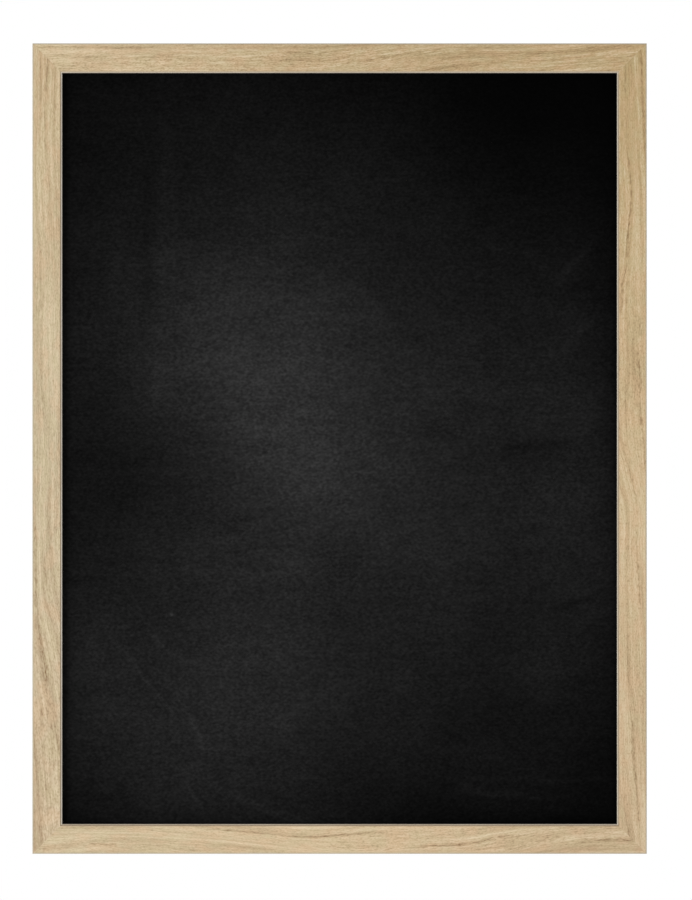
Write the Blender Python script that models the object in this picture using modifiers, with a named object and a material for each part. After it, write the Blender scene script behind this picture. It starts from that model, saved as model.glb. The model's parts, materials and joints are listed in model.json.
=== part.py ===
"""A chalkboard that hangs on a wall: a mitred, oak-veneered frame round a matt black writing board.

Metres, +Z up. The front faces -Y and the wall is the plane Y = 0. The origin lies on the wall, midway between
the two wall hooks, at the height where the hanger rings rest on them.
"""

import math

import bmesh
import bpy
from mathutils import Matrix, Vector

# Frame moulding
SIGHT_WIDTH = 0.554
SIGHT_HEIGHT = 0.750
FACE_WIDTH = 0.030
FRAME_DEPTH = 0.020
VENEER_THICKNESS = 0.0006
ARRIS_RADIUS = 0.0008
LIP_CHAMFER = 0.0020
LIP_THICKNESS = 0.007
REBATE_WIDTH = 0.007

# Writing board, from its front to its back
SHEET_THICKNESS = 0.0008
BOARD_CORE_THICKNESS = 0.005
BALANCE_THICKNESS = 0.0006
BOARD_CLEARANCE = 0.001

# Points that hold the board in the rebate
POINTS_PER_STILE = 4
POINTS_PER_RAIL = 3
POINT_CORNER_DISTANCE = 0.080
POINT_WIDTH = 0.006
POINT_THICKNESS = 0.0005
POINT_DRIVEN = 0.006
POINT_PROUD = 0.009
POINT_TIP = 0.0025

# V-shaped nails across each mitre, placed along it from the outer corner
NAIL_PLACES = {"outer": 0.013, "inner": 0.024}
NAIL_LEG = 0.005
NAIL_THICKNESS = 0.0005
NAIL_HEIGHT = 0.010
NAIL_HALF_ANGLE = math.radians(50)

# Hangers
HANG_DROP = 0.200
HANGER_INSET = 0.012
STRAP_WIDTH = 0.009
STRAP_LENGTH = 0.036
STRAP_THICKNESS = 0.0008
STRAP_END_RADIUS = 0.003
LEAF_GAP = 0.0001
RING_WIRE_RADIUS = 0.001
RING_HALF_WIDTH = 0.008
RING_REACH = 0.012
RING_CORNER_RADIUS = 0.0015
RING_CLEARANCE = 0.0003

# Hanger screws: the upper one stays clear of the lowered ring, the lower one is set from the strap's end
RING_TO_SCREW = 0.002
SCREW_END_DISTANCE = 0.006
SCREW_LENGTH = 0.014
SCREW_SHANK_RADIUS = 0.0014
SCREW_TIP = 0.003
SCREW_HEAD_RADIUS = 0.003
SCREW_HEAD_HEIGHT = 0.0018
SCREW_RIM_HEIGHT = 0.0006
SCREW_CLEARANCE = 0.0004
RECESS_SPAN = 0.0032
RECESS_WIDTH = 0.0007
RECESS_DEPTH = 0.0011

# Wall bumpers
BUMPER_RADIUS = 0.006
BUMPER_EDGE_RADIUS = 0.0012
BUMPER_SIDE_DISTANCE = 0.045
BUMPER_INSET = 0.012
WALL_CLEARANCE = 0.0005

# Fits
SEAT_GAP = 0.0003
GLUE_LINE = 0.0003
MITRE_GAP = 0.0003
CUT_OVERRUN = 0.002
WELD = 0.000002

# How finely round shapes are faceted
ARC_STEP_DEGREES = 15
WIRE_RESOLUTION = 2
SMOOTH_BELOW = math.radians(35)

# Everything below follows from the sizes above
core_inset = VENEER_THICKNESS + GLUE_LINE
rebate_wall = FACE_WIDTH - REBATE_WIDTH
outer_width = SIGHT_WIDTH + 2 * FACE_WIDTH
outer_height = SIGHT_HEIGHT + 2 * FACE_WIDTH
board_width = SIGHT_WIDTH + 2 * (REBATE_WIDTH - BOARD_CLEARANCE)
board_height = SIGHT_HEIGHT + 2 * (REBATE_WIDTH - BOARD_CLEARANCE)

knuckle_radius = RING_WIRE_RADIUS + RING_CLEARANCE + STRAP_THICKNESS / 2
ring_axis_height = SEAT_GAP + STRAP_THICKNESS / 2 + knuckle_radius
wall_gap = ring_axis_height + knuckle_radius + STRAP_THICKNESS / 2 + WALL_CLEARANCE
ring_lean = math.asin((ring_axis_height - SEAT_GAP - RING_WIRE_RADIUS) / RING_REACH)

back_y = -wall_gap
front_y = back_y - FRAME_DEPTH
top_z = HANG_DROP
bottom_z = HANG_DROP - outer_height
middle_z = (top_z + bottom_z) / 2
ring_axis_z = -(RING_REACH - RING_WIRE_RADIUS) * math.cos(ring_lean)
hanger_x = outer_width / 2 - HANGER_INSET
leaves = 2 * STRAP_THICKNESS + LEAF_GAP

# How far down the strap from the ring's axis each of its screws goes
SCREW_PLACES = {
    "upper": RING_REACH + RING_WIRE_RADIUS + RING_TO_SCREW + SCREW_HEAD_RADIUS,
    "lower": STRAP_LENGTH - SCREW_END_DISTANCE,
}

# Depths behind the frame's front face
sheet_depth = LIP_THICKNESS + SEAT_GAP
board_core_depth = sheet_depth + SHEET_THICKNESS + GLUE_LINE
balance_depth = board_core_depth + BOARD_CORE_THICKNESS + GLUE_LINE
board_back_depth = balance_depth + BALANCE_THICKNESS
point_depth = board_back_depth + SEAT_GAP + POINT_THICKNESS / 2

# Each side of the frame: its length, the turn about Y that brings it there, and the middle of its outer edge.
# In a side's own frame X runs from the outer edge to the board, Y from front to back, and Z along the side.
SIDES = {
    "left_stile": (outer_height, 0, Vector((-outer_width / 2, front_y, middle_z))),
    "top_rail": (outer_width, math.radians(90), Vector((0, front_y, top_z))),
    "right_stile": (outer_height, math.radians(180), Vector((outer_width / 2, front_y, middle_z))),
    "bottom_rail": (outer_width, math.radians(-90), Vector((0, front_y, bottom_z))),
}

# Each corner of the frame: which way it lies from the middle, and the two sides that meet there.
CORNERS = {
    "top_left": (-1, 1, ("left_stile", "top_rail")),
    "top_right": (1, 1, ("right_stile", "top_rail")),
    "bottom_left": (-1, -1, ("left_stile", "bottom_rail")),
    "bottom_right": (1, -1, ("right_stile", "bottom_rail")),
}


def linear(value):
    """An sRGB channel from 0 to 255 as the linear number that a material holds."""
    share = value / 255
    return share / 12.92 if share <= 0.04045 else ((share + 0.055) / 1.055) ** 2.4


def material(name, colour, roughness, metallic=0.0):
    made = bpy.data.materials.new(name)
    made.use_nodes = True
    shader = made.node_tree.nodes["Principled BSDF"]
    shader.inputs["Base Color"].default_value = (*[linear(channel) for channel in colour], 1)
    shader.inputs["Roughness"].default_value = roughness
    shader.inputs["Metallic"].default_value = metallic
    return made


def new_object(name, data, collection, matrix, finish=None):
    made = bpy.data.objects.new(name, data)
    collection.objects.link(made)
    made.matrix_world = matrix
    if finish:
        data.materials.append(finish)
    return made


def part(name, data, matrix, finish):
    return new_object(name, data, parts, matrix, finish)


def cutter(name, data, matrix):
    made = new_object(name, data, cutters, matrix)
    made.hide_render = True
    made.display_type = "WIRE"
    return made


def cut(target, tool):
    modifier = target.modifiers.new(tool.name, "BOOLEAN")
    modifier.operation = "DIFFERENCE"
    modifier.solver = "EXACT"
    modifier.object = tool


def finished(mesh, smooth=False):
    """Welds the mesh and turns its faces outwards, and shades its round surfaces smooth if asked."""
    work = bmesh.new()
    work.from_mesh(mesh)
    bmesh.ops.remove_doubles(work, verts=work.verts, dist=WELD)
    bmesh.ops.recalc_face_normals(work, faces=work.faces)
    work.to_mesh(mesh)
    work.free()
    if smooth:
        mesh.shade_smooth()
        mesh.set_sharp_from_angle(angle=SMOOTH_BELOW)
    return mesh


def evaluated_mesh(made):
    """What the object's curve or modifiers make, as a mesh. The object is removed."""
    bpy.context.view_layer.update()
    graph = bpy.context.evaluated_depsgraph_get()
    mesh = bpy.data.meshes.new_from_object(made.evaluated_get(graph))
    bpy.data.objects.remove(made)
    return mesh


def box_mesh(name, size):
    """A box centred on its origin."""
    mesh = bpy.data.meshes.new(name)
    work = bmesh.new()
    bmesh.ops.create_cube(work, size=1)
    bmesh.ops.scale(work, vec=size, verts=work.verts)
    work.to_mesh(mesh)
    work.free()
    return mesh


def cylinder_mesh(name, radius, length):
    """A cylinder centred on its origin, along Z."""
    mesh = bpy.data.meshes.new(name)
    work = bmesh.new()
    bmesh.ops.create_cone(
        work,
        cap_ends=True,
        segments=round(360 / ARC_STEP_DEGREES),
        radius1=radius,
        radius2=radius,
        depth=length,
    )
    work.to_mesh(mesh)
    work.free()
    return mesh


def poly_curve(name, points, dimensions):
    curve = bpy.data.curves.new(name, "CURVE")
    curve.dimensions = dimensions
    spline = curve.splines.new("POLY")
    spline.points.add(len(points) - 1)
    for point, place in zip(spline.points, points):
        point.co = (*place, *[0] * (3 - len(place)), 1)
    spline.use_cyclic_u = True
    return curve


def outline_mesh(name, points, thickness, smooth=False):
    """A flat outline in XY, extruded by half its thickness each way along Z."""
    curve = poly_curve(name, points, "2D")
    curve.fill_mode = "BOTH"
    curve.extrude = thickness / 2
    made = new_object(name, curve, parts, Matrix.Identity(4))
    return finished(evaluated_mesh(made), smooth)


def turned_mesh(name, profile):
    """A profile of (radius, height) turned about Z. It runs from the top of the axis down its outer side."""
    mesh = bpy.data.meshes.new(name)
    edges = [(i, i + 1) for i in range(len(profile) - 1)]
    mesh.from_pydata([(radius, 0, height) for radius, height in profile], edges, [])
    made = new_object(name, mesh, parts, Matrix.Identity(4))
    screw = made.modifiers.new("turn", "SCREW")
    screw.axis = "Z"
    screw.steps = round(360 / ARC_STEP_DEGREES)
    screw.render_steps = screw.steps
    screw.use_merge_vertices = True
    screw.merge_threshold = WELD
    return finished(evaluated_mesh(made), smooth=True)


def arc(centre, radius, start, end):
    """Points along an arc, both ends included. The angles are in degrees."""
    steps = round(abs(end - start) / ARC_STEP_DEGREES)
    angles = [math.radians(start + (end - start) * i / steps) for i in range(steps + 1)]
    return [
        (centre[0] + radius * math.cos(angle), centre[1] + radius * math.sin(angle))
        for angle in angles
    ]


def strip_outline(path, thickness):
    """The outline of a strip of that thickness, bent along a path of points, with mitred bends."""
    points = [Vector(point) for point in path]
    headings = [(b - a).normalized() for a, b in zip(points, points[1:])]
    headings = [headings[0], *headings, headings[-1]]
    left, right = [], []
    for point, before, after in zip(points, headings, headings[1:]):
        normal = Vector((-before.y - after.y, before.x + after.x)).normalized()
        reach = thickness / 2 / normal.dot(Vector((-before.y, before.x)))
        left.append(tuple(point + normal * reach))
        right.append(tuple(point - normal * reach))
    return left + right[::-1]


def side_matrix(side):
    _, turn, edge = SIDES[side]
    return Matrix.Translation(edge) @ Matrix.Rotation(turn, 4, "Y")


def veneer_section():
    """The L of veneer that wraps the outer edge and the face, and ends in the sight edge's chamfer."""
    arris = arc((ARRIS_RADIUS, ARRIS_RADIUS), ARRIS_RADIUS, 180, 270)
    face_end = FACE_WIDTH - LIP_CHAMFER
    return [
        (0, FRAME_DEPTH),
        *arris,
        (face_end, 0),
        (face_end + VENEER_THICKNESS, VENEER_THICKNESS),
        (VENEER_THICKNESS, VENEER_THICKNESS),
        (VENEER_THICKNESS, FRAME_DEPTH),
    ]


def core_section():
    """The pale core: chamfered and bare at the sight edge, with the rebate for the board behind its lip."""
    return [
        (core_inset, core_inset),
        (FACE_WIDTH - LIP_CHAMFER + core_inset, core_inset),
        (FACE_WIDTH, LIP_CHAMFER),
        (FACE_WIDTH, LIP_THICKNESS),
        (rebate_wall, LIP_THICKNESS),
        (rebate_wall, FRAME_DEPTH),
        (core_inset, FRAME_DEPTH),
    ]


def mitred_length(name, section, side, finish):
    """A length of moulding sawn at 45 degrees at both ends."""
    length, _, _ = SIDES[side]
    mesh = outline_mesh(name, section, length)
    work = bmesh.new()
    work.from_mesh(mesh)
    for end in (-1, 1):
        normal = Vector((1, 0, end)).normalized()
        corner = Vector((0, 0, end * length / 2))
        bmesh.ops.bisect_plane(
            work,
            geom=[*work.verts, *work.edges, *work.faces],
            plane_co=corner - normal * MITRE_GAP / 2,
            plane_no=normal,
            clear_outer=True,
        )
        rim = [edge for edge in work.edges if edge.is_boundary]
        bmesh.ops.holes_fill(work, edges=rim, sides=0)
    work.to_mesh(mesh)
    work.free()
    return part(name, finished(mesh), side_matrix(side), finish)


def make_frame():
    """The four veneered mouldings. It returns their cores by side, which the fastenings are sunk into."""
    cores = {}
    for side in SIDES:
        cores[side] = mitred_length(f"{side}_core", core_section(), side, core_wood)
        mitred_length(f"{side}_veneer", veneer_section(), side, oak)
    return cores


def make_board():
    """The laminated board: black writing sheet, fibre core and balance sheet."""
    layers = (
        ("writing_sheet", sheet_depth, SHEET_THICKNESS, chalk_black),
        ("board_core", board_core_depth, BOARD_CORE_THICKNESS, fibre_board),
        ("balance_sheet", balance_depth, BALANCE_THICKNESS, kraft),
    )
    for name, depth, thickness, finish in layers:
        place = Vector((0, front_y + depth + thickness / 2, middle_z))
        mesh = box_mesh(name, (board_width, thickness, board_height))
        part(name, mesh, Matrix.Translation(place), finish)


def point_outline():
    """A flat steel point: its tip lies in the wood on the -X side, and its round end lies over the board."""
    half = POINT_WIDTH / 2
    round_end = arc((POINT_PROUD - half, 0), half, -90, 90)
    shoulder = -POINT_DRIVEN + POINT_TIP
    return [(-POINT_DRIVEN, 0), (shoulder, -half), *round_end, (shoulder, half)]


def make_points(cores):
    """Flat points driven into the rebate's walls, evenly spread between the first and the last of a side."""
    mesh = outline_mesh("board_point", point_outline(), POINT_THICKNESS)
    slot_length = POINT_DRIVEN + SEAT_GAP + CUT_OVERRUN
    slot_size = (slot_length, POINT_WIDTH + 2 * SEAT_GAP, POINT_THICKNESS + 2 * SEAT_GAP)
    slot_mesh = box_mesh("board_point_slot", slot_size)
    mesh.materials.append(point_steel)
    for side, core in cores.items():
        count = POINTS_PER_STILE if side.endswith("stile") else POINTS_PER_RAIL
        reach = SIDES[side][0] / 2 - FACE_WIDTH - POINT_CORNER_DISTANCE
        for i in range(count):
            along = reach * (1 - 2 * i / (count - 1))
            place = Matrix.Translation((rebate_wall, point_depth, along))
            lie_flat = Matrix.Rotation(math.radians(90), 4, "X")
            matrix = side_matrix(side) @ place @ lie_flat
            part(f"board_point_{side}_{i + 1}", mesh, matrix, None)
            sunk = Matrix.Translation((CUT_OVERRUN - slot_length / 2, 0, 0))
            cut(core, cutter(f"slot_{side}_{i + 1}", slot_mesh, matrix @ sunk))


def nail_outline(spare):
    """A V-nail seen from behind, its point towards the board, grown by spare on every side for its slot."""
    leg = NAIL_LEG + spare
    back = -leg * math.cos(NAIL_HALF_ANGLE)
    out = leg * math.sin(NAIL_HALF_ANGLE)
    return strip_outline([(back, -out), (0, 0), (back, out)], NAIL_THICKNESS + 2 * spare)


def make_corner_nails(cores):
    """Two V-nails across each mitre, driven in from the back until they are just below its surface."""
    mesh = outline_mesh("corner_nail", nail_outline(0), NAIL_HEIGHT)
    mesh.materials.append(nail_steel)
    slot_height = CUT_OVERRUN + SEAT_GAP + NAIL_HEIGHT + SEAT_GAP
    slot_mesh = outline_mesh("corner_nail_slot", nail_outline(SEAT_GAP), slot_height)
    nail_y = back_y - SEAT_GAP - NAIL_HEIGHT / 2
    slot_y = back_y + CUT_OVERRUN - slot_height / 2
    for corner, (across, up, sides) in CORNERS.items():
        inwards = Vector((-across, 0, -up)).normalized()
        outer = Vector((across * outer_width / 2, 0, middle_z + up * outer_height / 2))
        turn = Matrix.Rotation(math.atan2(up, -across), 4, "Y")
        stand = turn @ Matrix.Rotation(math.radians(90), 4, "X")
        for which, distance in NAIL_PLACES.items():
            spot = outer + inwards * distance
            name = f"corner_nail_{corner}_{which}"
            nail_place = Matrix.Translation(spot + Vector((0, nail_y, 0)))
            slot_place = Matrix.Translation(spot + Vector((0, slot_y, 0)))
            part(name, mesh, nail_place @ stand, None)
            slot = cutter(f"slot_{corner}_{which}", slot_mesh, slot_place @ stand)
            for side in sides:
                cut(cores[side], slot)


def strap_path():
    """The strap's middle line: along the wood, round the ring, and back on top of itself."""
    low = STRAP_THICKNESS / 2
    high = low + STRAP_THICKNESS + LEAF_GAP
    axis = low + knuckle_radius
    pinch = axis - high
    return [
        (STRAP_LENGTH, low),
        *arc((0, axis), knuckle_radius, -90, -360),
        *arc((knuckle_radius + pinch, axis), pinch, 180, 270)[1:],
        (STRAP_LENGTH, high),
    ]


def strap_mesh(name):
    """The folded strap, with the corners of its free end rounded."""
    mesh = outline_mesh(name, strip_outline(strap_path(), STRAP_THICKNESS), STRAP_WIDTH, smooth=True)
    work = bmesh.new()
    work.from_mesh(mesh)
    corners = [
        edge
        for edge in work.edges
        if all(vert.co.x > STRAP_LENGTH - WELD for vert in edge.verts)
        and abs(edge.verts[0].co.z - edge.verts[1].co.z) < WELD
        and abs(edge.verts[0].co.y - edge.verts[1].co.y) > WELD
    ]
    bmesh.ops.bevel(
        work,
        geom=corners,
        offset=STRAP_END_RADIUS,
        segments=round(90 / ARC_STEP_DEGREES),
        profile=0.5,
        affect="EDGES",
    )
    work.to_mesh(mesh)
    work.free()
    return mesh


def ring_path():
    """The D of the ring's wire: a straight leg on the joint's axis, and a half-round bow above it."""
    straight = RING_HALF_WIDTH - RING_CORNER_RADIUS
    shoulder = RING_REACH - RING_HALF_WIDTH
    flat = [
        *arc((straight, RING_CORNER_RADIUS), RING_CORNER_RADIUS, -90, 0),
        *arc((0, shoulder), RING_HALF_WIDTH, 0, 180),
        *arc((-straight, RING_CORNER_RADIUS), RING_CORNER_RADIUS, 180, 270),
    ]
    return [(across, 0, up) for across, up in flat]


def screw_mesh():
    """A pan-head wood screw with a cross recess. Its head sits on Z = 0 and its tip points down."""
    dome = SCREW_HEAD_HEIGHT - SCREW_RIM_HEIGHT
    profile = [
        *[(SCREW_HEAD_RADIUS * out, SCREW_RIM_HEIGHT + dome * up) for out, up in arc((0, 0), 1, 90, 0)],
        (SCREW_HEAD_RADIUS, 0),
        (SCREW_SHANK_RADIUS, 0),
        (SCREW_SHANK_RADIUS, SCREW_TIP - SCREW_LENGTH),
        (0, -SCREW_LENGTH),
    ]
    span, half = RECESS_SPAN / 2, RECESS_WIDTH / 2
    quarter = [(span, -half), (span, half), (half, half)]
    cross = []
    for i in range(4):
        turn = Matrix.Rotation(math.radians(90 * i), 2)
        cross += [tuple(turn @ Vector(point)) for point in quarter]
    blank = new_object("screw_blank", turned_mesh("screw_blank", profile), parts, Matrix.Identity(4))
    recess_height = RECESS_DEPTH + CUT_OVERRUN
    recess_middle = SCREW_HEAD_HEIGHT - RECESS_DEPTH + recess_height / 2
    recess_mesh = outline_mesh("screw_recess", cross, recess_height)
    recess = cutter("screw_recess", recess_mesh, Matrix.Translation((0, 0, recess_middle)))
    cut(blank, recess)
    mesh = finished(evaluated_mesh(blank), smooth=True)
    bpy.data.objects.remove(recess)
    return mesh


def make_hangers(cores):
    """A folded strap on each stile's back, its two screws, and the D-ring that turns in its fold."""
    hole_mesh = cylinder_mesh("screw_hole", SCREW_SHANK_RADIUS + SCREW_CLEARANCE, 2 * FRAME_DEPTH)
    screw = screw_mesh()
    screw.materials.append(zinc)
    sunk = SCREW_LENGTH - leaves - SEAT_GAP
    pilot_length = sunk + CUT_OVERRUN
    pilot_mesh = cylinder_mesh("pilot_hole", SCREW_SHANK_RADIUS + SEAT_GAP, pilot_length)
    out_of_wood = Matrix.Rotation(math.radians(-90), 4, "X")
    down_the_stile = Matrix.Rotation(math.radians(90), 4, "Y")
    for hand, across in (("left", -1), ("right", 1)):
        axis = Vector((across * hanger_x, back_y + ring_axis_height, ring_axis_z))
        seat = Vector((axis.x, back_y + SEAT_GAP, axis.z))
        strap_name = f"{hand}_hanger_strap"
        laid = Matrix.Translation(seat) @ down_the_stile
        strap = part(strap_name, strap_mesh(strap_name), laid, zinc)
        wire = poly_curve(f"{hand}_hanger_ring", ring_path(), "3D")
        wire.bevel_depth = RING_WIRE_RADIUS
        wire.bevel_resolution = WIRE_RESOLUTION
        lean = Matrix.Rotation(ring_lean, 4, "X")
        part(f"{hand}_hanger_ring", wire, Matrix.Translation(axis) @ lean, zinc)
        for which, distance in SCREW_PLACES.items():
            under_head = seat + Vector((0, leaves + SEAT_GAP, -distance))
            name = f"{hand}_hanger_screw_{which}"
            part(name, screw, Matrix.Translation(under_head) @ out_of_wood, None)
            through = Matrix.Translation(seat - Vector((0, 0, distance)))
            cut(strap, cutter(f"hole_{hand}_{which}", hole_mesh, through @ out_of_wood))
            pilot_y = back_y + CUT_OVERRUN - pilot_length / 2
            sunk_in = Matrix.Translation((axis.x, pilot_y, axis.z - distance))
            pilot = cutter(f"pilot_{hand}_{which}", pilot_mesh, sunk_in @ out_of_wood)
            cut(cores[f"{hand}_stile"], pilot)


def make_bumpers():
    """Round rubber bumpers at the foot of the back. They reach the wall, so the chalkboard hangs plumb."""
    thickness = wall_gap - SEAT_GAP
    rim = BUMPER_RADIUS - BUMPER_EDGE_RADIUS
    shoulder = thickness - BUMPER_EDGE_RADIUS
    edge = arc((rim, shoulder), BUMPER_EDGE_RADIUS, 90, 0)
    profile = [(0, thickness), *edge, (BUMPER_RADIUS, 0), (0, 0)]
    mesh = turned_mesh("wall_bumper", profile)
    mesh.materials.append(rubber)
    out_of_wood = Matrix.Rotation(math.radians(-90), 4, "X")
    for hand, across in (("left", -1), ("right", 1)):
        place = (
            across * (outer_width / 2 - BUMPER_SIDE_DISTANCE),
            back_y + SEAT_GAP,
            bottom_z + BUMPER_INSET,
        )
        part(f"{hand}_wall_bumper", mesh, Matrix.Translation(place) @ out_of_wood, None)


for old in list(bpy.data.objects):
    bpy.data.objects.remove(old)

parts = bpy.data.collections.new("chalkboard")
cutters = bpy.data.collections.new("cutters")
for group in (parts, cutters):
    bpy.context.scene.collection.children.link(group)

oak = material("oak_veneer", (199, 177, 143), 0.55)
core_wood = material("pale_core", (205, 190, 163), 0.7)
chalk_black = material("chalkboard_black", (26, 26, 26), 0.8)
fibre_board = material("fibre_board", (146, 118, 86), 0.8)
kraft = material("kraft_sheet", (158, 127, 92), 0.85)
point_steel = material("point_steel", (120, 122, 125), 0.45, 0.9)
nail_steel = material("nail_steel", (150, 152, 155), 0.4, 0.9)
zinc = material("zinc_plate", (186, 188, 190), 0.35, 0.95)
rubber = material("bumper_rubber", (44, 43, 42), 0.85)

frame_cores = make_frame()
make_board()
make_points(frame_cores)
make_corner_nails(frame_cores)
make_hangers(frame_cores)
make_bumpers()
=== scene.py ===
"""A framed chalkboard, dressed piece by piece in the order in which it is put together.

Metres, +Z up. The front faces -Y and the wall is the plane Y = 0.
"""

import json
import math

import bmesh
import bpy
import numpy as np
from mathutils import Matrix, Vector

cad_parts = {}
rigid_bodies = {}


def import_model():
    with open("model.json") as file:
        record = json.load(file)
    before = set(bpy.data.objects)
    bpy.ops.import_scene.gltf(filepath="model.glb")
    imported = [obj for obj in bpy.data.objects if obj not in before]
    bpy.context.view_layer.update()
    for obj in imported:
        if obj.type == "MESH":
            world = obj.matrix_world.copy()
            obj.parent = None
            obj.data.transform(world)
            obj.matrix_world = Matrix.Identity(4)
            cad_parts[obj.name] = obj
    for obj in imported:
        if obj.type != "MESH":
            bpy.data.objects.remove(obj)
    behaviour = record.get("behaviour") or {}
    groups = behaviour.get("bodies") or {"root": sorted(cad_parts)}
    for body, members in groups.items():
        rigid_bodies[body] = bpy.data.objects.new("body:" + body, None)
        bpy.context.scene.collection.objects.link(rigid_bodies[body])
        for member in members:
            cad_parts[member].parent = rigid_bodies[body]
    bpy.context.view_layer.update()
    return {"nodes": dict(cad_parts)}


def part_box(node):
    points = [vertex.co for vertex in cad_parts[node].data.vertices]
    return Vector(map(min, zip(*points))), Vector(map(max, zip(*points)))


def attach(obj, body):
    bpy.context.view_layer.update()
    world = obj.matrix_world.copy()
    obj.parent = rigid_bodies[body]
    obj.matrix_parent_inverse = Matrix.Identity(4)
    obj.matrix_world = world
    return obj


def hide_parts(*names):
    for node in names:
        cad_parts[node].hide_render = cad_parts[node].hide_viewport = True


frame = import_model()

# Blender's own first scene holds these
for leftover in list(bpy.data.objects):
    if leftover.name in ("Cube", "Light", "Camera"):
        bpy.data.objects.remove(leftover)


# Oak faces
# Sliced oak veneer, 0.6 mm thick, glued round the outer edge and over the face of each moulding.
# It is sawn at 45 degrees with the moulding, and its cut edge shows in the chamfer next to the board.

WIDTH = 0.614
HEIGHT = 0.810
TOP = 0.200
MIDDLE_Z = TOP - HEIGHT / 2
SIDES = {
    "left_stile": {"edge": (-WIDTH / 2, MIDDLE_Z), "inwards": (1, 0), "along": (0, 1), "length": HEIGHT},
    "top_rail": {"edge": (0, TOP), "inwards": (0, -1), "along": (1, 0), "length": WIDTH},
    "right_stile": {"edge": (WIDTH / 2, MIDDLE_Z), "inwards": (-1, 0), "along": (0, -1), "length": HEIGHT},
    "bottom_rail": {"edge": (0, TOP - HEIGHT), "inwards": (0, 1), "along": (-1, 0), "length": WIDTH},
}
FRONT = -0.025
MOULDING_DEPTH = 0.020
VENEER = 0.0006
ARRIS = 0.0008
ARRIS_WEAR = 0.00012
WEAR_LENGTH = 0.05
WEAR_WAVES = 5
WEAR_PEAK = 1.4
FACE_END = 0.0276
MITRE_HALF_GAP = 0.00002
RUN_SPACING = 0.004
EDGE_STEPS, ARRIS_STEPS, FACE_STEPS = 11, 7, 20

# The oak's colour at the start, the middle and the end of each side: the wood's own tone, together with
# painted light and shade of the main lamp's falloff, lighter towards the lower left and darker at the top
# right
OAK_TINTS_AND_PAINTED_FALLOFF = {
    "left_stile": ((191, 169, 138), (201, 184, 152), (199, 175, 137)),
    "top_rail": ((209, 186, 149), (195, 170, 129), (194, 166, 121)),
    "right_stile": ((190, 163, 116), (208, 182, 142), (205, 180, 144)),
    "bottom_rail": ((203, 177, 141), (210, 186, 149), (200, 181, 147)),
}
OAK_CONTRAST = {"left_stile": 0.74, "top_rail": 0.90, "right_stile": 0.72, "bottom_rail": 0.70}
OAK_GRAIN_DEPTH = 0.00005
PORE_COLOUR = (128, 98, 64)
FLECK_COLOUR = (246, 230, 200)
RED_TONE = (218, 180, 142)
GREEN_TONE = (200, 188, 146)
ARRIS_COLOUR = (176, 167, 147)

# How wide the wood's marks are across the rings, and how long along the side, in millimetres
FIBRE = (0.54, 60)
STREAK = (0.6, 8)
PORE = (0.52, 2.3)
BAND = (3.6, 160)
LINE_BREAK = (0.7, 6)
LINE_FRAY = (1.5, 5)
LINE_WIDTH = 0.85
TONE_PATCH = (8, 22)

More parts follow.
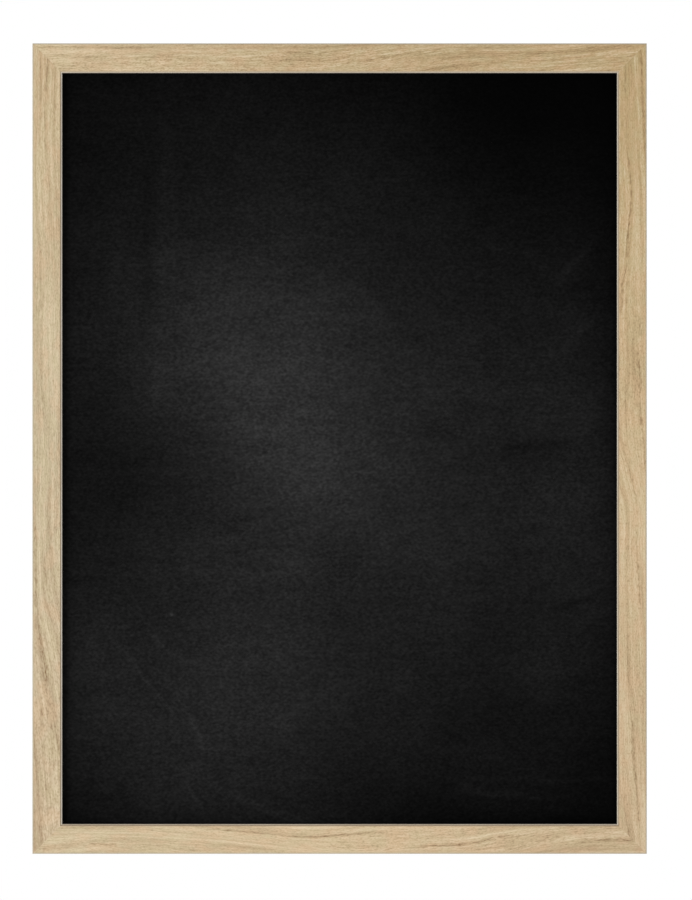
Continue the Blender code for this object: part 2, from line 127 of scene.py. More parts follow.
# Growth lines on each face: the ring that a line lies on, and where it runs, as pairs of millimetres along
# the side and from its outer edge. The grain between two lines follows them both.
GROWTH_REACH = 440
GROWTH_SMOOTHING = 13
GROWTH_LINES = {
    "left_stile": (
        (-6, ((-405, 8), (-395, 7), (-360, 7), (-320, 4.5), (-280, 2), (-250, 0), (-150, -6),
             (405, -8))),
        (-1, ((-405, 20), (-345, 16), (-310, 13), (-285, 10.5), (-265, 10), (-240, 6), (-200, 0),
             (-160, -3), (405, -4))),
        (4, ((-405, 34), (-340, 29), (-290, 25), (-270, 21.5), (-255, 18.5), (-235, 15.5), (-210, 12),
             (-190, 8), (-160, 4.5), (-140, 3.5), (-100, 3), (-60, 2), (0, 1), (405, -1))),
        (14, ((-405, 46), (-250, 36), (-190, 26), (-160, 17), (-140, 13), (-115, 11.5), (-60, 12.5),
             (-10, 12), (40, 9.5), (100, 8), (130, 8.5), (150, 10.5), (190, 9.5), (215, 7.5), (260, 5),
             (290, 5), (330, 6.5), (370, 7.5), (405, 7))),
        (21, ((-405, 56), (-190, 38), (-140, 24), (-100, 19), (0, 18), (60, 17), (130, 16), (200, 16),
             (260, 15), (280, 13.5), (310, 12.5), (330, 12.5), (360, 13.5), (392, 14.5), (405, 14.5))),
        (28, ((-405, 64), (-190, 48), (-100, 28), (0, 25), (100, 24), (200, 23), (300, 19), (340, 19.5),
             (385, 21), (405, 22))),
    ),
    "top_rail": (
        (2, ((-307, 6), (-240, 5), (-200, 5.5), (-150, 4), (-100, 3), (-50, 2), (0, 1), (60, -3),
             (307, -12))),
        (11, ((-307, 16), (-260, 14), (-230, 13), (-180, 11), (-130, 12), (-100, 10), (-60, 8.5),
             (-30, 8.5), (-10, 6), (20, 4), (60, 1), (120, -2), (307, -8))),
        (20, ((-307, 27), (-150, 26), (-60, 25), (-20, 24), (10, 20.5), (40, 15), (60, 11), (80, 8),
             (100, 5.5), (130, 4.5), (180, 4.5), (230, 1), (307, -4))),
        (30, ((-307, 38), (-60, 37), (20, 28), (80, 20), (110, 14.5), (130, 13.5), (160, 13), (180, 12),
             (190, 10.5), (215, 9.5), (235, 8), (255, 4.5), (275, 3.5), (290, 1), (307, -1))),
        (39, ((-307, 48), (0, 44), (60, 32), (100, 25), (150, 21), (200, 19), (250, 15), (307, 10))),
    ),
    "right_stile": (
        (2, ((-405, 6.5), (-380, 5), (-350, 4.5), (-330, 2.5), (-280, 1.5), (-200, -2), (100, -5),
             (405, -12))),
        (9, ((-405, 13), (-300, 10), (-230, 8), (-150, 9), (-125, 6), (-100, 8.5), (-90, 7), (-70, 6.5),
             (-55, 7.5), (-40, 6.5), (-20, 4), (0, 2.5), (20, 1), (60, -1), (200, -4), (405, -6))),
        (19, ((-405, 22), (-360, 21.5), (-340, 21), (-310, 20), (-290, 18.5), (-275, 16), (-255, 15),
             (-240, 16), (-220, 18), (-200, 20), (-180, 21), (-165, 24), (-145, 25.5), (-130, 26.5),
             (-100, 28), (-60, 28.5), (-30, 27.5), (-10, 26), (0, 24), (15, 19), (30, 16), (45, 12),
             (60, 9), (80, 8.5), (100, 10), (120, 8), (135, 8), (155, 6.5), (180, 5.5), (220, 3),
             (265, 1), (405, -4))),
        (28, ((-405, 32), (-250, 27), (-100, 38), (0, 36), (60, 23), (120, 22), (200, 19.5), (230, 19),
             (250, 17.5), (265, 15.5), (280, 14.5), (310, 13), (340, 10.5), (370, 8.5), (405, 7))),
        (36, ((-405, 40), (0, 46), (100, 33), (200, 29), (300, 26), (340, 24), (360, 22.5), (375, 20.5),
             (390, 17), (405, 13))),
    ),
    "bottom_rail": (
        (0, ((-307, 8), (-270, 8.5), (-240, 7), (-200, 2), (-150, -2), (60, -6), (100, 0), (130, 2.5),
             (150, 4), (165, 6), (180, 8.7), (195, 9), (210, 7.7), (225, 9), (245, 9.5), (260, 7.5),
             (275, 6), (290, 4.5), (307, 3))),
        (6, ((-307, 15), (-292, 13.5), (-280, 14), (-262, 13.5), (-245, 12.5), (-225, 9), (-200, 5),
             (-175, 1), (0, -1), (100, 6), (160, 12), (200, 15), (250, 16), (307, 12))),
        (11, ((-307, 24), (-260, 22), (-225, 19), (-210, 15), (-195, 12), (-185, 8), (-175, 4),
             (-165, 3), (-120, 2), (0, 1), (100, 11), (160, 16), (200, 19), (250, 20), (307, 17))),
        (17, ((-307, 32), (-230, 26), (-180, 20), (-155, 16.5), (-145, 13), (-135, 10), (-120, 8),
             (-100, 8), (-80, 6.5), (-60, 5), (-45, 3.5), (-20, 2.5), (10, 4), (60, 10), (120, 16),
             (200, 23), (307, 22))),
        (27, ((-307, 44), (-170, 29), (-100, 26), (-55, 23), (-20, 21.5), (0, 19), (20, 17), (40, 17),
             (60, 19), (80, 20.5), (100, 22), (130, 25), (200, 31), (307, 30))),
    ),
}

# Stretches where a growth line stands out dark: its ring, where it starts and ends along the side in
# millimetres, and how dark it is
DARK_STRETCHES = {
    "left_stile": ((-6, -400, -290, 0.5), (-1, -350, -330, 0.4), (-1, -280, -260, 0.7),
        (4, -310, -240, 0.35), (4, -235, -75, 0.8), (14, -132, -105, 0.6), (14, 136, 160, 0.8),
        (14, 185, 250, 0.4), (14, 300, 340, 0.4), (14, 345, 385, 0.8), (21, 300, 345, 0.7),
        (21, 355, 394, 0.7), (28, 325, 385, 0.3)),
    "top_rail": ((2, -242, -195, 0.4), (11, -258, -236, 0.7), (11, -190, -160, 0.4),
        (11, -60, -24, 0.9), (20, 5, 110, 0.8), (20, 120, 185, 0.5), (30, 100, 175, 0.5),
        (30, 185, 240, 0.8), (30, 240, 290, 0.6), (39, 95, 150, 0.4)),
    "right_stile": ((2, -402, -285, 0.9), (9, -132, -112, 0.8), (9, -104, -54, 0.8), (9, -45, 22, 0.7),
        (19, -392, -350, 0.9), (19, -345, -300, 0.5), (19, -298, -190, 1.1), (19, -185, -135, 0.9),
        (19, -12, 12, 0.4), (19, 12, 58, 0.8), (19, 58, 110, 0.7), (19, 112, 160, 1.0),
        (19, 160, 230, 0.5), (28, 190, 235, 0.3), (28, 268, 375, 0.7), (36, 345, 380, 0.5),
        (36, 378, 402, 1.0)),
    "bottom_rail": ((0, -278, -244, 0.6), (6, -298, -240, 1.1), (11, -222, -165, 0.7),
        (17, -172, -128, 1.0), (17, -126, -8, 0.9), (27, -55, -10, 0.4), (27, -8, 60, 0.8),
        (27, 64, 125, 0.8), (0, 140, 220, 0.7), (0, 222, 255, 1.0), (0, 258, 300, 0.5)),
}


def linear(colour):
    """An sRGB colour from 0 to 255 as the linear colour, with alpha, that a socket holds."""
    share = np.array(colour) / 255
    flat = np.where(share <= 0.04045, share / 12.92, ((share + 0.055) / 1.055) ** 2.4)
    return (*flat.tolist(), 1.0)


class Shade:
    """A value, vector or colour in a finish. Arithmetic on values adds the Math nodes for it."""

    def __init__(self, tree, socket=None):
        self.tree = tree
        self.socket = socket

    def node(self, kind, settings=None, inputs=None, output=0):
        """Adds a node: first its settings, then its sockets' values or links. It returns one output."""
        made = self.tree.nodes.new(f"ShaderNode{kind}")
        for name, value in (settings or {}).items():
            setattr(made, name, value)
        for key, value in (inputs or {}).items():
            if isinstance(value, Shade):
                self.tree.links.new(value.socket, made.inputs[key])
            else:
                made.inputs[key].default_value = value
        return Shade(self.tree, made.outputs[output])

    def other(self, output):
        """Another output of the node that this one comes from."""
        return Shade(self.tree, self.socket.node.outputs[output])

    def feed(self, socket):
        self.tree.links.new(self.socket, socket)

    def math(self, operation, first, second=0.0):
        return self.node("Math", {"operation": operation}, {0: first, 1: second})

    def dot(self, x, y, z):
        """The dot product of a vector and three numbers."""
        return self.node("VectorMath", {"operation": "DOT_PRODUCT"}, {0: self, 1: (x, y, z)}, "Value")

    def __add__(self, other):
        return self.math("ADD", self, other)

    def __sub__(self, other):
        return self.math("SUBTRACT", self, other)

    def __rsub__(self, other):
        return self.math("SUBTRACT", other, self)

    def __mul__(self, other):
        return self.math("MULTIPLY", self, other)

    def __truediv__(self, other):
        return self.math("DIVIDE", self, other)

    def __neg__(self):
        return self.math("MULTIPLY", self, -1.0)

    __radd__ = __add__
    __rmul__ = __mul__

    def bell(self):
        """The value is a distance squared: 1 where it is 0, falling away from there as a bell does."""
        return self.math("POWER", math.e, -self)

    def step(self, low, high):
        """0 below low and 1 above high, with a smooth slope between them."""
        inputs = {"Value": self, "From Min": low, "From Max": high}
        return self.node("MapRange", {"interpolation_type": "SMOOTHSTEP"}, inputs)

    def mix(self, first, second):
        """The first colour where the value is 0, and the second where it is 1. A plain one is in sRGB."""
        first, second = [c if isinstance(c, Shade) else linear(c) for c in (first, second)]
        return self.node("Mix", {"data_type": "RGBA"}, {0: self, 6: first, 7: second}, 2)

    def vector(self, x, y, z):
        return self.node("CombineXYZ", None, {0: x, 1: y, 2: z})

    def noise(self, x, y, z, detail=0.0):
        """Smooth random values about 0.5, one wave to each unit of x, y and z."""
        inputs = {"Vector": self.vector(x, y, z), "Scale": 1.0, "Detail": detail}
        return self.node("TexNoise", None, inputs)

    def place(self):
        """The three parts of the place on the object, in millimetres."""
        split = self.node("SeparateXYZ", None, {0: self.node("TexCoord", output="Object")})
        return [split.other(i) * 1000 for i in range(3)]

    def bump(self, depth):
        """The normal of a surface that rises by depth, in metres, where the value is 1."""
        return self.node("Bump", None, {"Height": self, "Distance": depth, "Strength": 1.0})


def new_finish(name, **constants):
    """A material and the start of its recipe, with some of its shader's sockets set to stay as they are."""
    finish = bpy.data.materials.new(name)
    finish.use_nodes = True
    shader = finish.node_tree.nodes["Principled BSDF"]
    for socket, value in constants.items():
        shader.inputs[socket.replace("_", " ")].default_value = value
    return finish, Shade(finish.node_tree)


def finished(finish, colour, roughness, rise=None, depth=0.0):
    """Feeds a finish its colour and its roughness, and returns it.

    Where rise is given, the surface rises by depth, in metres, where rise is 1.
    """
    sockets = finish.node_tree.nodes["Principled BSDF"].inputs
    colour.feed(sockets["Base Color"])
    roughness.feed(sockets["Roughness"])
    if rise is not None:
        rise.bump(depth).feed(sockets["Normal"])
    return finish


def quads(rows, columns, close_rows=False, close_columns=False):
    """Four-sided faces between neighbours in a grid of points that is numbered row by row."""
    r = np.arange(rows if close_rows else rows - 1)[:, None]
    c = np.arange(columns if close_columns else columns - 1)[None, :]
    r_next, c_next = (r + 1) % rows, (c + 1) % columns
    corners = [r * columns + c, r * columns + c_next, r_next * columns + c_next, r_next * columns + c]
    return np.stack(corners, axis=-1).reshape(-1, 4)


def thin_faces(rows, columns):
    """Faces of a closed piece, each row of which goes out along one surface and comes back along the other.

    The first part of the list goes round the piece, and the other two close its ends.
    """
    pair = np.arange(columns // 2 - 1)
    cap = np.stack([pair, pair + 1, columns - 2 - pair, columns - 1 - pair], axis=-1)
    return [quads(rows, columns, close_columns=True), cap, cap + (rows - 1) * columns]


SMOOTH_BELOW = math.radians(40)
WELD = 0.0000005


def make(name, points, faces, finishes, uv=None, slots=None):
    """A closed piece from points and faces: welded, turned outwards and shaded smooth except at its edges."""
    mesh = bpy.data.meshes.new(name)
    mesh.from_pydata(points.reshape(-1, 3).tolist(), [], [list(face) for face in faces])
    for finish in finishes:
        mesh.materials.append(finish)
    if slots is not None:
        mesh.polygons.foreach_set("material_index", slots)
    if uv is not None:
        corner_points = np.zeros(len(mesh.loops), np.int32)
        mesh.loops.foreach_get("vertex_index", corner_points)
        layer = mesh.uv_layers.new(name="grain")
        layer.data.foreach_set("uv", uv.reshape(-1, 2)[corner_points].ravel())
    work = bmesh.new()
    work.from_mesh(mesh)
    bmesh.ops.remove_doubles(work, verts=work.verts, dist=WELD)
    bmesh.ops.recalc_face_normals(work, faces=work.faces)
    work.to_mesh(mesh)
    work.free()
    mesh.shade_smooth()
    mesh.set_sharp_from_angle(angle=SMOOTH_BELOW)
    made = bpy.data.objects.new(name, mesh)
    bpy.context.scene.collection.objects.link(made)
    return made


def on_side(side, u, depth, v):
    """Points of a side: u in from its outer edge, depth from its front, and v along it from its middle."""
    shape = SIDES[side]
    x = shape["edge"][0] + shape["inwards"][0] * u + shape["along"][0] * v
    z = shape["edge"][1] + shape["inwards"][1] * u + shape["along"][1] * v
    return np.stack([x, FRONT + depth + 0 * v, z], axis=-1)


def mitred_strip(side, outer, inner, spacing):
    """A thin strip between two lines of a moulding's section, carried along a side and sawn at 45 degrees.

    Each line is a pair of arrays, u and depth. Along the side, t runs from -1 to 1, and a point with
    distance u from the outer edge lies at v = t (length / 2 - u - gap). The sawn faces, which close the strip
    at its ends and along its two long edges, are in slot 1 and the others in slot 0.
    """
    u = np.concatenate([outer[0], inner[0][..., ::-1]], axis=-1)
    depth = np.concatenate([outer[1], inner[1][..., ::-1]], axis=-1)
    half = SIDES[side]["length"] / 2
    rows, columns = len(spacing), u.shape[-1]
    v = spacing[:, None] * (half - u - MITRE_HALF_GAP)
    u, depth = np.broadcast_to(u, v.shape), np.broadcast_to(depth, v.shape)
    faces = thin_faces(rows, columns)
    slots = np.zeros(sum(len(part) for part in faces), np.int32)
    slots[: len(faces[0])].reshape(rows - 1, columns)[:, columns // 2 - 1 :: columns // 2] = 1
    slots[len(faces[0]) :] = 1
    return on_side(side, u, depth, v), np.concatenate(faces), v, slots


def wobble(v, reach, seed):
    """A smooth, uneven wave between about -1 and 1: a few sines whose lengths are near reach, summed."""
    draw = np.random.default_rng(seed)
    lengths = reach * draw.uniform(0.5, 2.0, WEAR_WAVES)
    phases = draw.uniform(0, 2 * math.pi, WEAR_WAVES)
    waves = [np.sin(2 * math.pi * v / size + phase) for size, phase in zip(lengths, phases)]
    return sum(waves) / (WEAR_WAVES ** 0.5 * WEAR_PEAK)


def veneer_lines(side, spacing):
    """The veneer's outer and inner lines at each station: up the edge, round the arris and over the face.

    The arris is a quarter circle, whose radius wavers along the side as sanding left it.
    """
    radius = ARRIS + ARRIS_WEAR * wobble(spacing[:, None] * SIDES[side]["length"], WEAR_LENGTH, len(side))
    turn = np.radians(np.linspace(180, 270, ARRIS_STEPS))
    up = np.linspace(0, 1, EDGE_STEPS)[:-1]
    over = np.linspace(0, 1, FACE_STEPS)[1:]
    still = np.zeros_like(radius)
    u = [still + 0 * up, radius * (1 + np.cos(turn)), radius + (FACE_END - radius) * over]
    depth = [MOULDING_DEPTH + (radius - MOULDING_DEPTH) * up, radius * (1 + np.sin(turn)), still + 0 * over]
    tight = radius - VENEER
    inner_u = [still + VENEER + 0 * up, radius + tight * np.cos(turn), u[2] + VENEER * over]
    inner_depth = [depth[0], radius + tight * np.sin(turn), still + VENEER + 0 * over]
    outer = np.concatenate(u, axis=1), np.concatenate(depth, axis=1)
    inner = np.concatenate(inner_u, axis=1), np.concatenate(inner_depth, axis=1)
    return outer, inner


def grain_place(side, outer, v):
    """Where each point lay in the sliced sheet: on which ring of the tree, and how far along it.

    Each growth line is smoothed along the side. Between two lines, the ring changes evenly from the one's to
    the other's, and beyond the outermost it changes by 1 for each millimetre. The result is in metres.
    """
    across = np.concatenate([outer[0] - outer[1], (outer[0] - outer[1])[:, ::-1]], axis=1) * 1000
    fine = np.arange(-GROWTH_REACH, GROWTH_REACH + 1)
    window = np.hanning(GROWTH_SMOOTHING)
    rings, runs = [], []
    for ring, line in GROWTH_LINES[side]:
        v_knots, u_knots = np.array(line).T
        smooth = np.convolve(np.interp(fine, v_knots, u_knots), window / window.sum(), mode="same")
        rings.append(ring)
        runs.append(np.interp(v * 1000, fine, smooth))
    place = rings[0] + np.minimum(across - runs[0], 0) + np.maximum(across - runs[-1], 0)
    for i in range(len(rings) - 1):
        share = np.clip((across - runs[i]) / (runs[i + 1] - runs[i]), 0, 1)
        place = place + (rings[i + 1] - rings[i]) * share
    return np.stack([place / 1000, v], axis=-1)


def from_outer_edge(side, x, z):
    """How far a place on a side lies in from the side's outer edge, in millimetres."""
    edge, inwards = SIDES[side]["edge"], SIDES[side]["inwards"]
    return (x - 1000 * edge[0]) * inwards[0] + (z - 1000 * edge[1]) * inwards[1]


def oak_finish(side, number):
    """Oiled oak: fine fibres and streaks, short dark pores, broad bands of growth, and dark growth lines.

    The streaks, pores, bands and lines add up to one darkness, which draws the colour towards the pores' or,
    below nothing, towards the pale flecks'. Over the arris, where sanding went through the oil, it is greyer.
    """
    finish, start = new_finish(f"oak_{side}", Specular_IOR_Level=0.25)
    split = start.node("SeparateXYZ", None, {0: start.node("UVMap", {"uv_map": "grain"})})
    along = split.other(1) * 1000
    x, y, z = start.place()
    seed = 7.3 * number + 0.37
    wander = start.noise(split * (1000 / 40), along / 90, seed) - 0.5
    ripple = start.noise(split * (1000 / 6), along / 36, seed + 1) - 0.5
    straight = split * 1000 + ripple * 1.2
    ring = straight + wander * 2

    def marks(size, layer, detail=0.0):
        return start.noise(ring / size[0], along / size[1], seed + layer, detail)

    frayed = straight + (marks(LINE_FRAY, 8) - 0.5) * 2.4
    fibres = (marks(FIBRE, 2, 1.5) - 0.5) * 1.2
    streaks = marks(STREAK, 3) - 0.5
    pores = marks(PORE, 4, 0.5).step(0.44, 0.76)
    bands = marks(BAND, 5, 1.0) - 0.5
    breaks = marks(LINE_BREAK, 6).step(0.3, 0.65)
    lines = 0.0
    for line_ring, first, last, dark in DARK_STRETCHES[side]:
        off = (frayed - line_ring) / LINE_WIDTH
        spread = (off * off).bell()
        begins, ends = along.step(first - 5, first + 7), along.step(last - 7, last + 5)
        lines = spread * (begins - ends) * dark + lines
    strength = OAK_CONTRAST[side]
    darkness = fibres * (0.9 * strength) + streaks * (0.8 * strength) + pores * (0.46 * strength)
    darkness = darkness + bands * 0.95
    darkness = darkness + lines * (0.3 + 0.8 * breaks) * 0.58 - 0.08
    half = SIDES[side]["length"] * 500
    at_start, at_middle, at_end = OAK_TINTS_AND_PAINTED_FALLOFF[side]
    # Along the side the colour runs through the three tints, which carry painted falloff of the main lamp's
    # light.
    colour = (along / half + 1.0).mix(at_start, at_middle)
    colour = (along / half).mix(colour, at_end)
    tone = (marks(TONE_PATCH, 7, 1.0).step(0.3, 0.7) - 0.5) * 0.5
    colour = tone.mix(colour, RED_TONE)
    colour = (-tone).mix(colour, GREEN_TONE)
    colour = darkness.mix(colour, PORE_COLOUR)
    colour = (-darkness).mix(colour, FLECK_COLOUR)
    from_arris = start.math("MAXIMUM", from_outer_edge(side, x, z), y - FRONT * 1000)
    worn = 1 - (from_arris + fibres).step(0.4, 1.9)
    colour = (worn * 0.7).mix(colour, ARRIS_COLOUR)
    return finished(finish, colour, 0.52 + 0.3 * darkness, -darkness, OAK_GRAIN_DEPTH)


CUT_OAK_COLOURS = ((154, 134, 107), (182, 161, 133))
# Painted light along the top rail: the colour that the cut edge and the glue are drawn towards there, and the
# heights in millimetres over which it comes in
TOP_PAINTED_LIGHT_COLOUR = (218, 200, 170)
TOP_PAINTED_LIGHT_ABOVE = (168, 171)


def painted_light_at_top(colour, z):
    """The colour, paler along the top rail: painted light on the edge there, which faces down."""
    return (z.step(*TOP_PAINTED_LIGHT_ABOVE) * 0.5).mix(colour, TOP_PAINTED_LIGHT_COLOUR)


def cut_oak_finish():
    """The veneer's sawn edge: darker than its face, with fine lines across it."""
    finish, start = new_finish("oak_cut_edge", Specular_IOR_Level=0.2)
    x, y, z = start.place()
    lines = start.noise(x / 0.5, y / 0.15, z / 0.5, 2.0)
    colour = lines.step(0.3, 0.7).mix(*CUT_OAK_COLOURS)
    return finished(finish, painted_light_at_top(colour, z), 0.65 + 0.2 * lines)


cut_oak = cut_oak_finish()
for number, side in enumerate(SIDES):
    stations = round(SIDES[side]["length"] / RUN_SPACING)
    spacing = np.linspace(-1, 1, stations + 1)
    outer, inner = veneer_lines(side, spacing)
    points, faces, v, slots = mitred_strip(side, outer, inner, spacing)
    finishes = [oak_finish(side, number), cut_oak]
    face = make(f"{side}_oak_face", points, faces, finishes, grain_place(side, outer, v), slots)
    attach(face, "chalkboard")
    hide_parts(f"{side}_veneer")


# Glue lines
# The film of brown wood glue between each veneer and its moulding, squeezed level with them when they were
# pressed together. It shows as a thin brown line at their edges.

GLUE_START = VENEER
GLUE_END = 0.0009
GLUE_COLOURS = ((146, 125, 98), (172, 150, 121))


def glue_finish():
    """Dried wood glue: a slightly glossy brown, uneven where it was squeezed thin."""
    finish, start = new_finish("wood_glue", Specular_IOR_Level=0.3)
    x, y, z = start.place()
    mottle = start.noise(x / 2, y / 2, z / 2, 2.0)
    colour = mottle.step(0.3, 0.7).mix(*GLUE_COLOURS)
    return finished(finish, painted_light_at_top(colour, z), 0.5 + 0.3 * mottle)


glue = glue_finish()
for side in SIDES:
    lines = []
    for inset in (GLUE_START, GLUE_END):
        u = np.array([[inset, inset, FACE_END + inset]])
        depth = np.array([[MOULDING_DEPTH, inset, inset]])
        lines.append((u, depth))
    points, faces, _, _ = mitred_strip(side, lines[0], lines[1], np.linspace(-1, 1, 3))
    film = make(f"{side}_glue_line", points, faces, [glue])
    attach(film, "chalkboard")


# Timber mouldings
# The pale, straight-grained timber under the veneer: rebated for the board, and bare in the chamfer and at
# the back. The slots of the corner nails and board points, and the screws' pilot holes, are sunk into it.

EASED = 0.00015
EASED_SMOOTH_BELOW = math.radians(60)
FLAT_WITHIN = math.radians(1)
ROUNDED_FROM = math.radians(30)
SAW_GAP = 0.0004
# Pale and dark colour of each side's timber. They differ from side to side as painted light and shade of the
# main lamp, darkest on the bottom rail, whose chamfer faces up, and lightest on the left stile.
TIMBER_COLOURS_WITH_PAINTED_SHADE = {
    "left_stile": ((214, 206, 193), (196, 185, 168)),
    "top_rail": ((205, 194, 177), (184, 170, 149)),
    "right_stile": ((211, 202, 185), (193, 181, 160)),
    "bottom_rail": ((196, 183, 166), (174, 158, 138)),
}
TIMBER_PORE_COLOUR = (140, 112, 80)
TIMBER_GRAIN_DEPTH = 0.00004
PLANER_RIPPLE = 1.6

# How far in from its edge the lip is darkened with painted shadow, and the face's width, in millimetres
PAINTED_LIP_SHADOW = {"left_stile": 0.33, "top_rail": 0.55, "right_stile": 0.33, "bottom_rail": 0.40}
PAINTED_LIP_SHADOW_COLOUR = (42, 38, 34)
FACE_WIDTH = 30.0


def merged_copy(node, name):
    """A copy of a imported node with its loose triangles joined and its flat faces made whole."""
    mesh = frame["nodes"][node].data.copy()
    mesh.name = name
    mesh.materials.clear()
    work = bmesh.new()
    work.from_mesh(mesh)
    bmesh.ops.remove_doubles(work, verts=work.verts, dist=WELD)
    bmesh.ops.dissolve_limit(work, angle_limit=FLAT_WITHIN, verts=work.verts, edges=work.edges)
    bmesh.ops.recalc_face_normals(work, faces=work.faces)
    weight = work.edges.layers.float.new("bevel_weight_edge")
    for edge in work.edges:
        edge[weight] = float(edge.calc_face_angle(0.0) > ROUNDED_FROM)
    work.to_mesh(mesh)
    work.free()
    made = bpy.data.objects.new(name, mesh)
    bpy.context.scene.collection.objects.link(made)
    return made


def close_joints(moulding, side):
    """Draws a moulding's two sawn ends up to the mitres, and keeps the edges sharp there and beside the glue.

    With u from the outer edge and v along the side from its middle, the ends lie where length / 2 - u - |v|
    is the saw's gap, and they go to where it is the mitre's. The glue lies where u or the depth is least.
    """
    mesh, shape = moulding.data, SIDES[side]
    place = np.zeros(3 * len(mesh.vertices))
    mesh.vertices.foreach_get("co", place)
    place = place.reshape(-1, 3)
    from_edge = place[:, [0, 2]] - shape["edge"]
    u, v = from_edge @ shape["inwards"], from_edge @ shape["along"]
    gap = shape["length"] / 2 - u - np.abs(v)
    sawn = gap < SAW_GAP
    shift = np.where(sawn, np.sign(v) * (gap - MITRE_HALF_GAP), 0)
    place[:, [0, 2]] += shift[:, None] * shape["along"]
    mesh.vertices.foreach_set("co", place.ravel())
    glued = np.minimum(u, place[:, 1] - FRONT) < GLUE_END + EASED
    ends = np.zeros(2 * len(mesh.edges), np.int32)
    mesh.edges.foreach_get("vertices", ends)
    ends = ends.reshape(-1, 2)
    weight = np.zeros(len(mesh.edges))
    mesh.attributes["bevel_weight_edge"].data.foreach_get("value", weight)
    weight[sawn[ends].all(axis=1) | glued[ends].all(axis=1)] = 0
    mesh.attributes["bevel_weight_edge"].data.foreach_set("value", weight)


def ease_edges(made, width, limit="ANGLE"):
    """Rounds the edges of a piece a little, as a sanding block or a tumbler does."""
    bevel = made.modifiers.new("eased", "BEVEL")
    bevel.width = width
    bevel.segments = 2
    bevel.limit_method = limit
    bevel.angle_limit = ROUNDED_FROM
    bevel.use_clamp_overlap = True
    made.data.shade_smooth()
    made.data.set_sharp_from_angle(angle=EASED_SMOOTH_BELOW)


def timber_finish(side):
    """Planed timber: straight grain and finer fibres, short brown pores, and faint ripples from the planer.

    The lip's very edge, next to the writing coat, is darkened with painted shadow.
    """
    finish, start = new_finish(f"timber_{side}", Specular_IOR_Level=0.25)
    x, y, z = start.place()
    across, along = (x, z) if side.endswith("stile") else (z, x)
    grain = start.noise(across / 1.3, y / 1.3, along / 70, 4.0)
    fibres = start.noise(across / 0.2, y / 0.2, along / 9, 2.0)
    bands = start.noise(across / 7, y / 7, along / 200, 1.0)
    pores = start.noise(across / 0.26, y / 0.26, along / 2.6, 1.0).step(0.57, 0.78)
    ripple = start.math("SINE", along * (2 * math.pi / PLANER_RIPPLE))
    # The side's two colours hold painted shade for how the light falls on that side.
    pale, dark = TIMBER_COLOURS_WITH_PAINTED_SHADE[side]
    colour = grain.step(0.3, 0.72).mix(pale, dark)
    colour = (bands.step(0.4, 0.75) * 0.3).mix(colour, dark)
    colour = (fibres.step(0.42, 0.7) * 0.3).mix(colour, dark)
    colour = (pores * 0.45).mix(colour, TIMBER_PORE_COLOUR)
    # Painted shadow: the lip's edge next to the board is drawn near black, widest on the top rail.
    rim = FACE_WIDTH - PAINTED_LIP_SHADOW[side]
    black = (from_outer_edge(side, x, z) + 0.1 * fibres).step(rim - 0.05, rim + 0.15)
    colour = black.mix(colour, PAINTED_LIP_SHADOW_COLOUR)
    rise = grain * -0.5 - pores - fibres * 0.3 + ripple * 0.15
    return finished(finish, colour, 0.62 + 0.15 * grain + 0.1 * pores, rise, TIMBER_GRAIN_DEPTH)


for side in SIDES:
    moulding = merged_copy(f"{side}_core", f"{side}_timber")
    moulding.data.materials.append(timber_finish(side))
    close_joints(moulding, side)
    ease_edges(moulding, EASED, "WEIGHT")
    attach(moulding, "chalkboard")
    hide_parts(f"{side}_core")


# Writing sheet
# A thin laminate with a matt black writing coat, pressed onto the front of the board. Chalk has been wiped
# across it many times, which leaves a soft grey haze that is thickest left of the middle; part of that haze
# is painted sheen of the main lamp.

BOARD_CORNER = 0.0008
SHEET_EASED = 0.00008
COAT_BLACK = 0.0001
COAT_GRAIN_DEPTH = 0.00003
NOISE_TURN = math.radians(34)

# How far the haze wanders off its ovals, and over what distance, in millimetres
DRIFT = 26
DRIFT_REACH = 60

# How wide and how high the coat's marks are, in millimetres
CLOTH_STREAK = (40, 3.5)
CHALK_CLOUD = (45, 30)
DUST_GRAIN = (3.0, 2.2)

# The sight opening's top left corner, in millimetres
SIGHT_LEFT = -277.0
SIGHT_TOP = 170.0

# Soft ovals of chalk dust and of painted sheen from the main lamp: millimetres right of and below that
# corner, half length, half width, tilt in degrees, and how much light they send back, in thousandths. Less
# than none darkens the coat there.
DUST_AND_SHEEN_OVALS = (
    (220, 380, 340, 265, 70, 17.0),
    (230, 365, 115, 75, 25, 28.0),
    (260, 270, 155, 65, 20, 14.5),
    (130, 305, 100, 60, 125, 4.0),
    (180, 375, 150, 95, -5, -16.5),
    (185, 545, 210, 95, 75, 6.5),
    (205, 640, 70, 15, -5, 2.5),
    (35, 565, 65, 35, 80, 4.5),
    (85, 675, 80, 115, -75, 7.5),
    (475, 585, 30, 35, -120, 3.5),
    (510, 385, 200, 60, 85, 9.0),
    (410, 310, 70, 395, -5, 6.0),
    (475, 375, 35, 25, -10, -3.0),
    (285, 495, 150, 20, 90, -2.0),
    (400, 90, 80, 170, 170, -5.0),
    (610, 810, 340, 35, 15, -3.5),
    (285, 280, 115, 235, 115, -8.5),
    (235, 180, 115, 90, 175, 5.0),
    (435, 585, 95, 55, 95, -3.5),
    (165, 530, 110, 35, 0, -3.5),
)

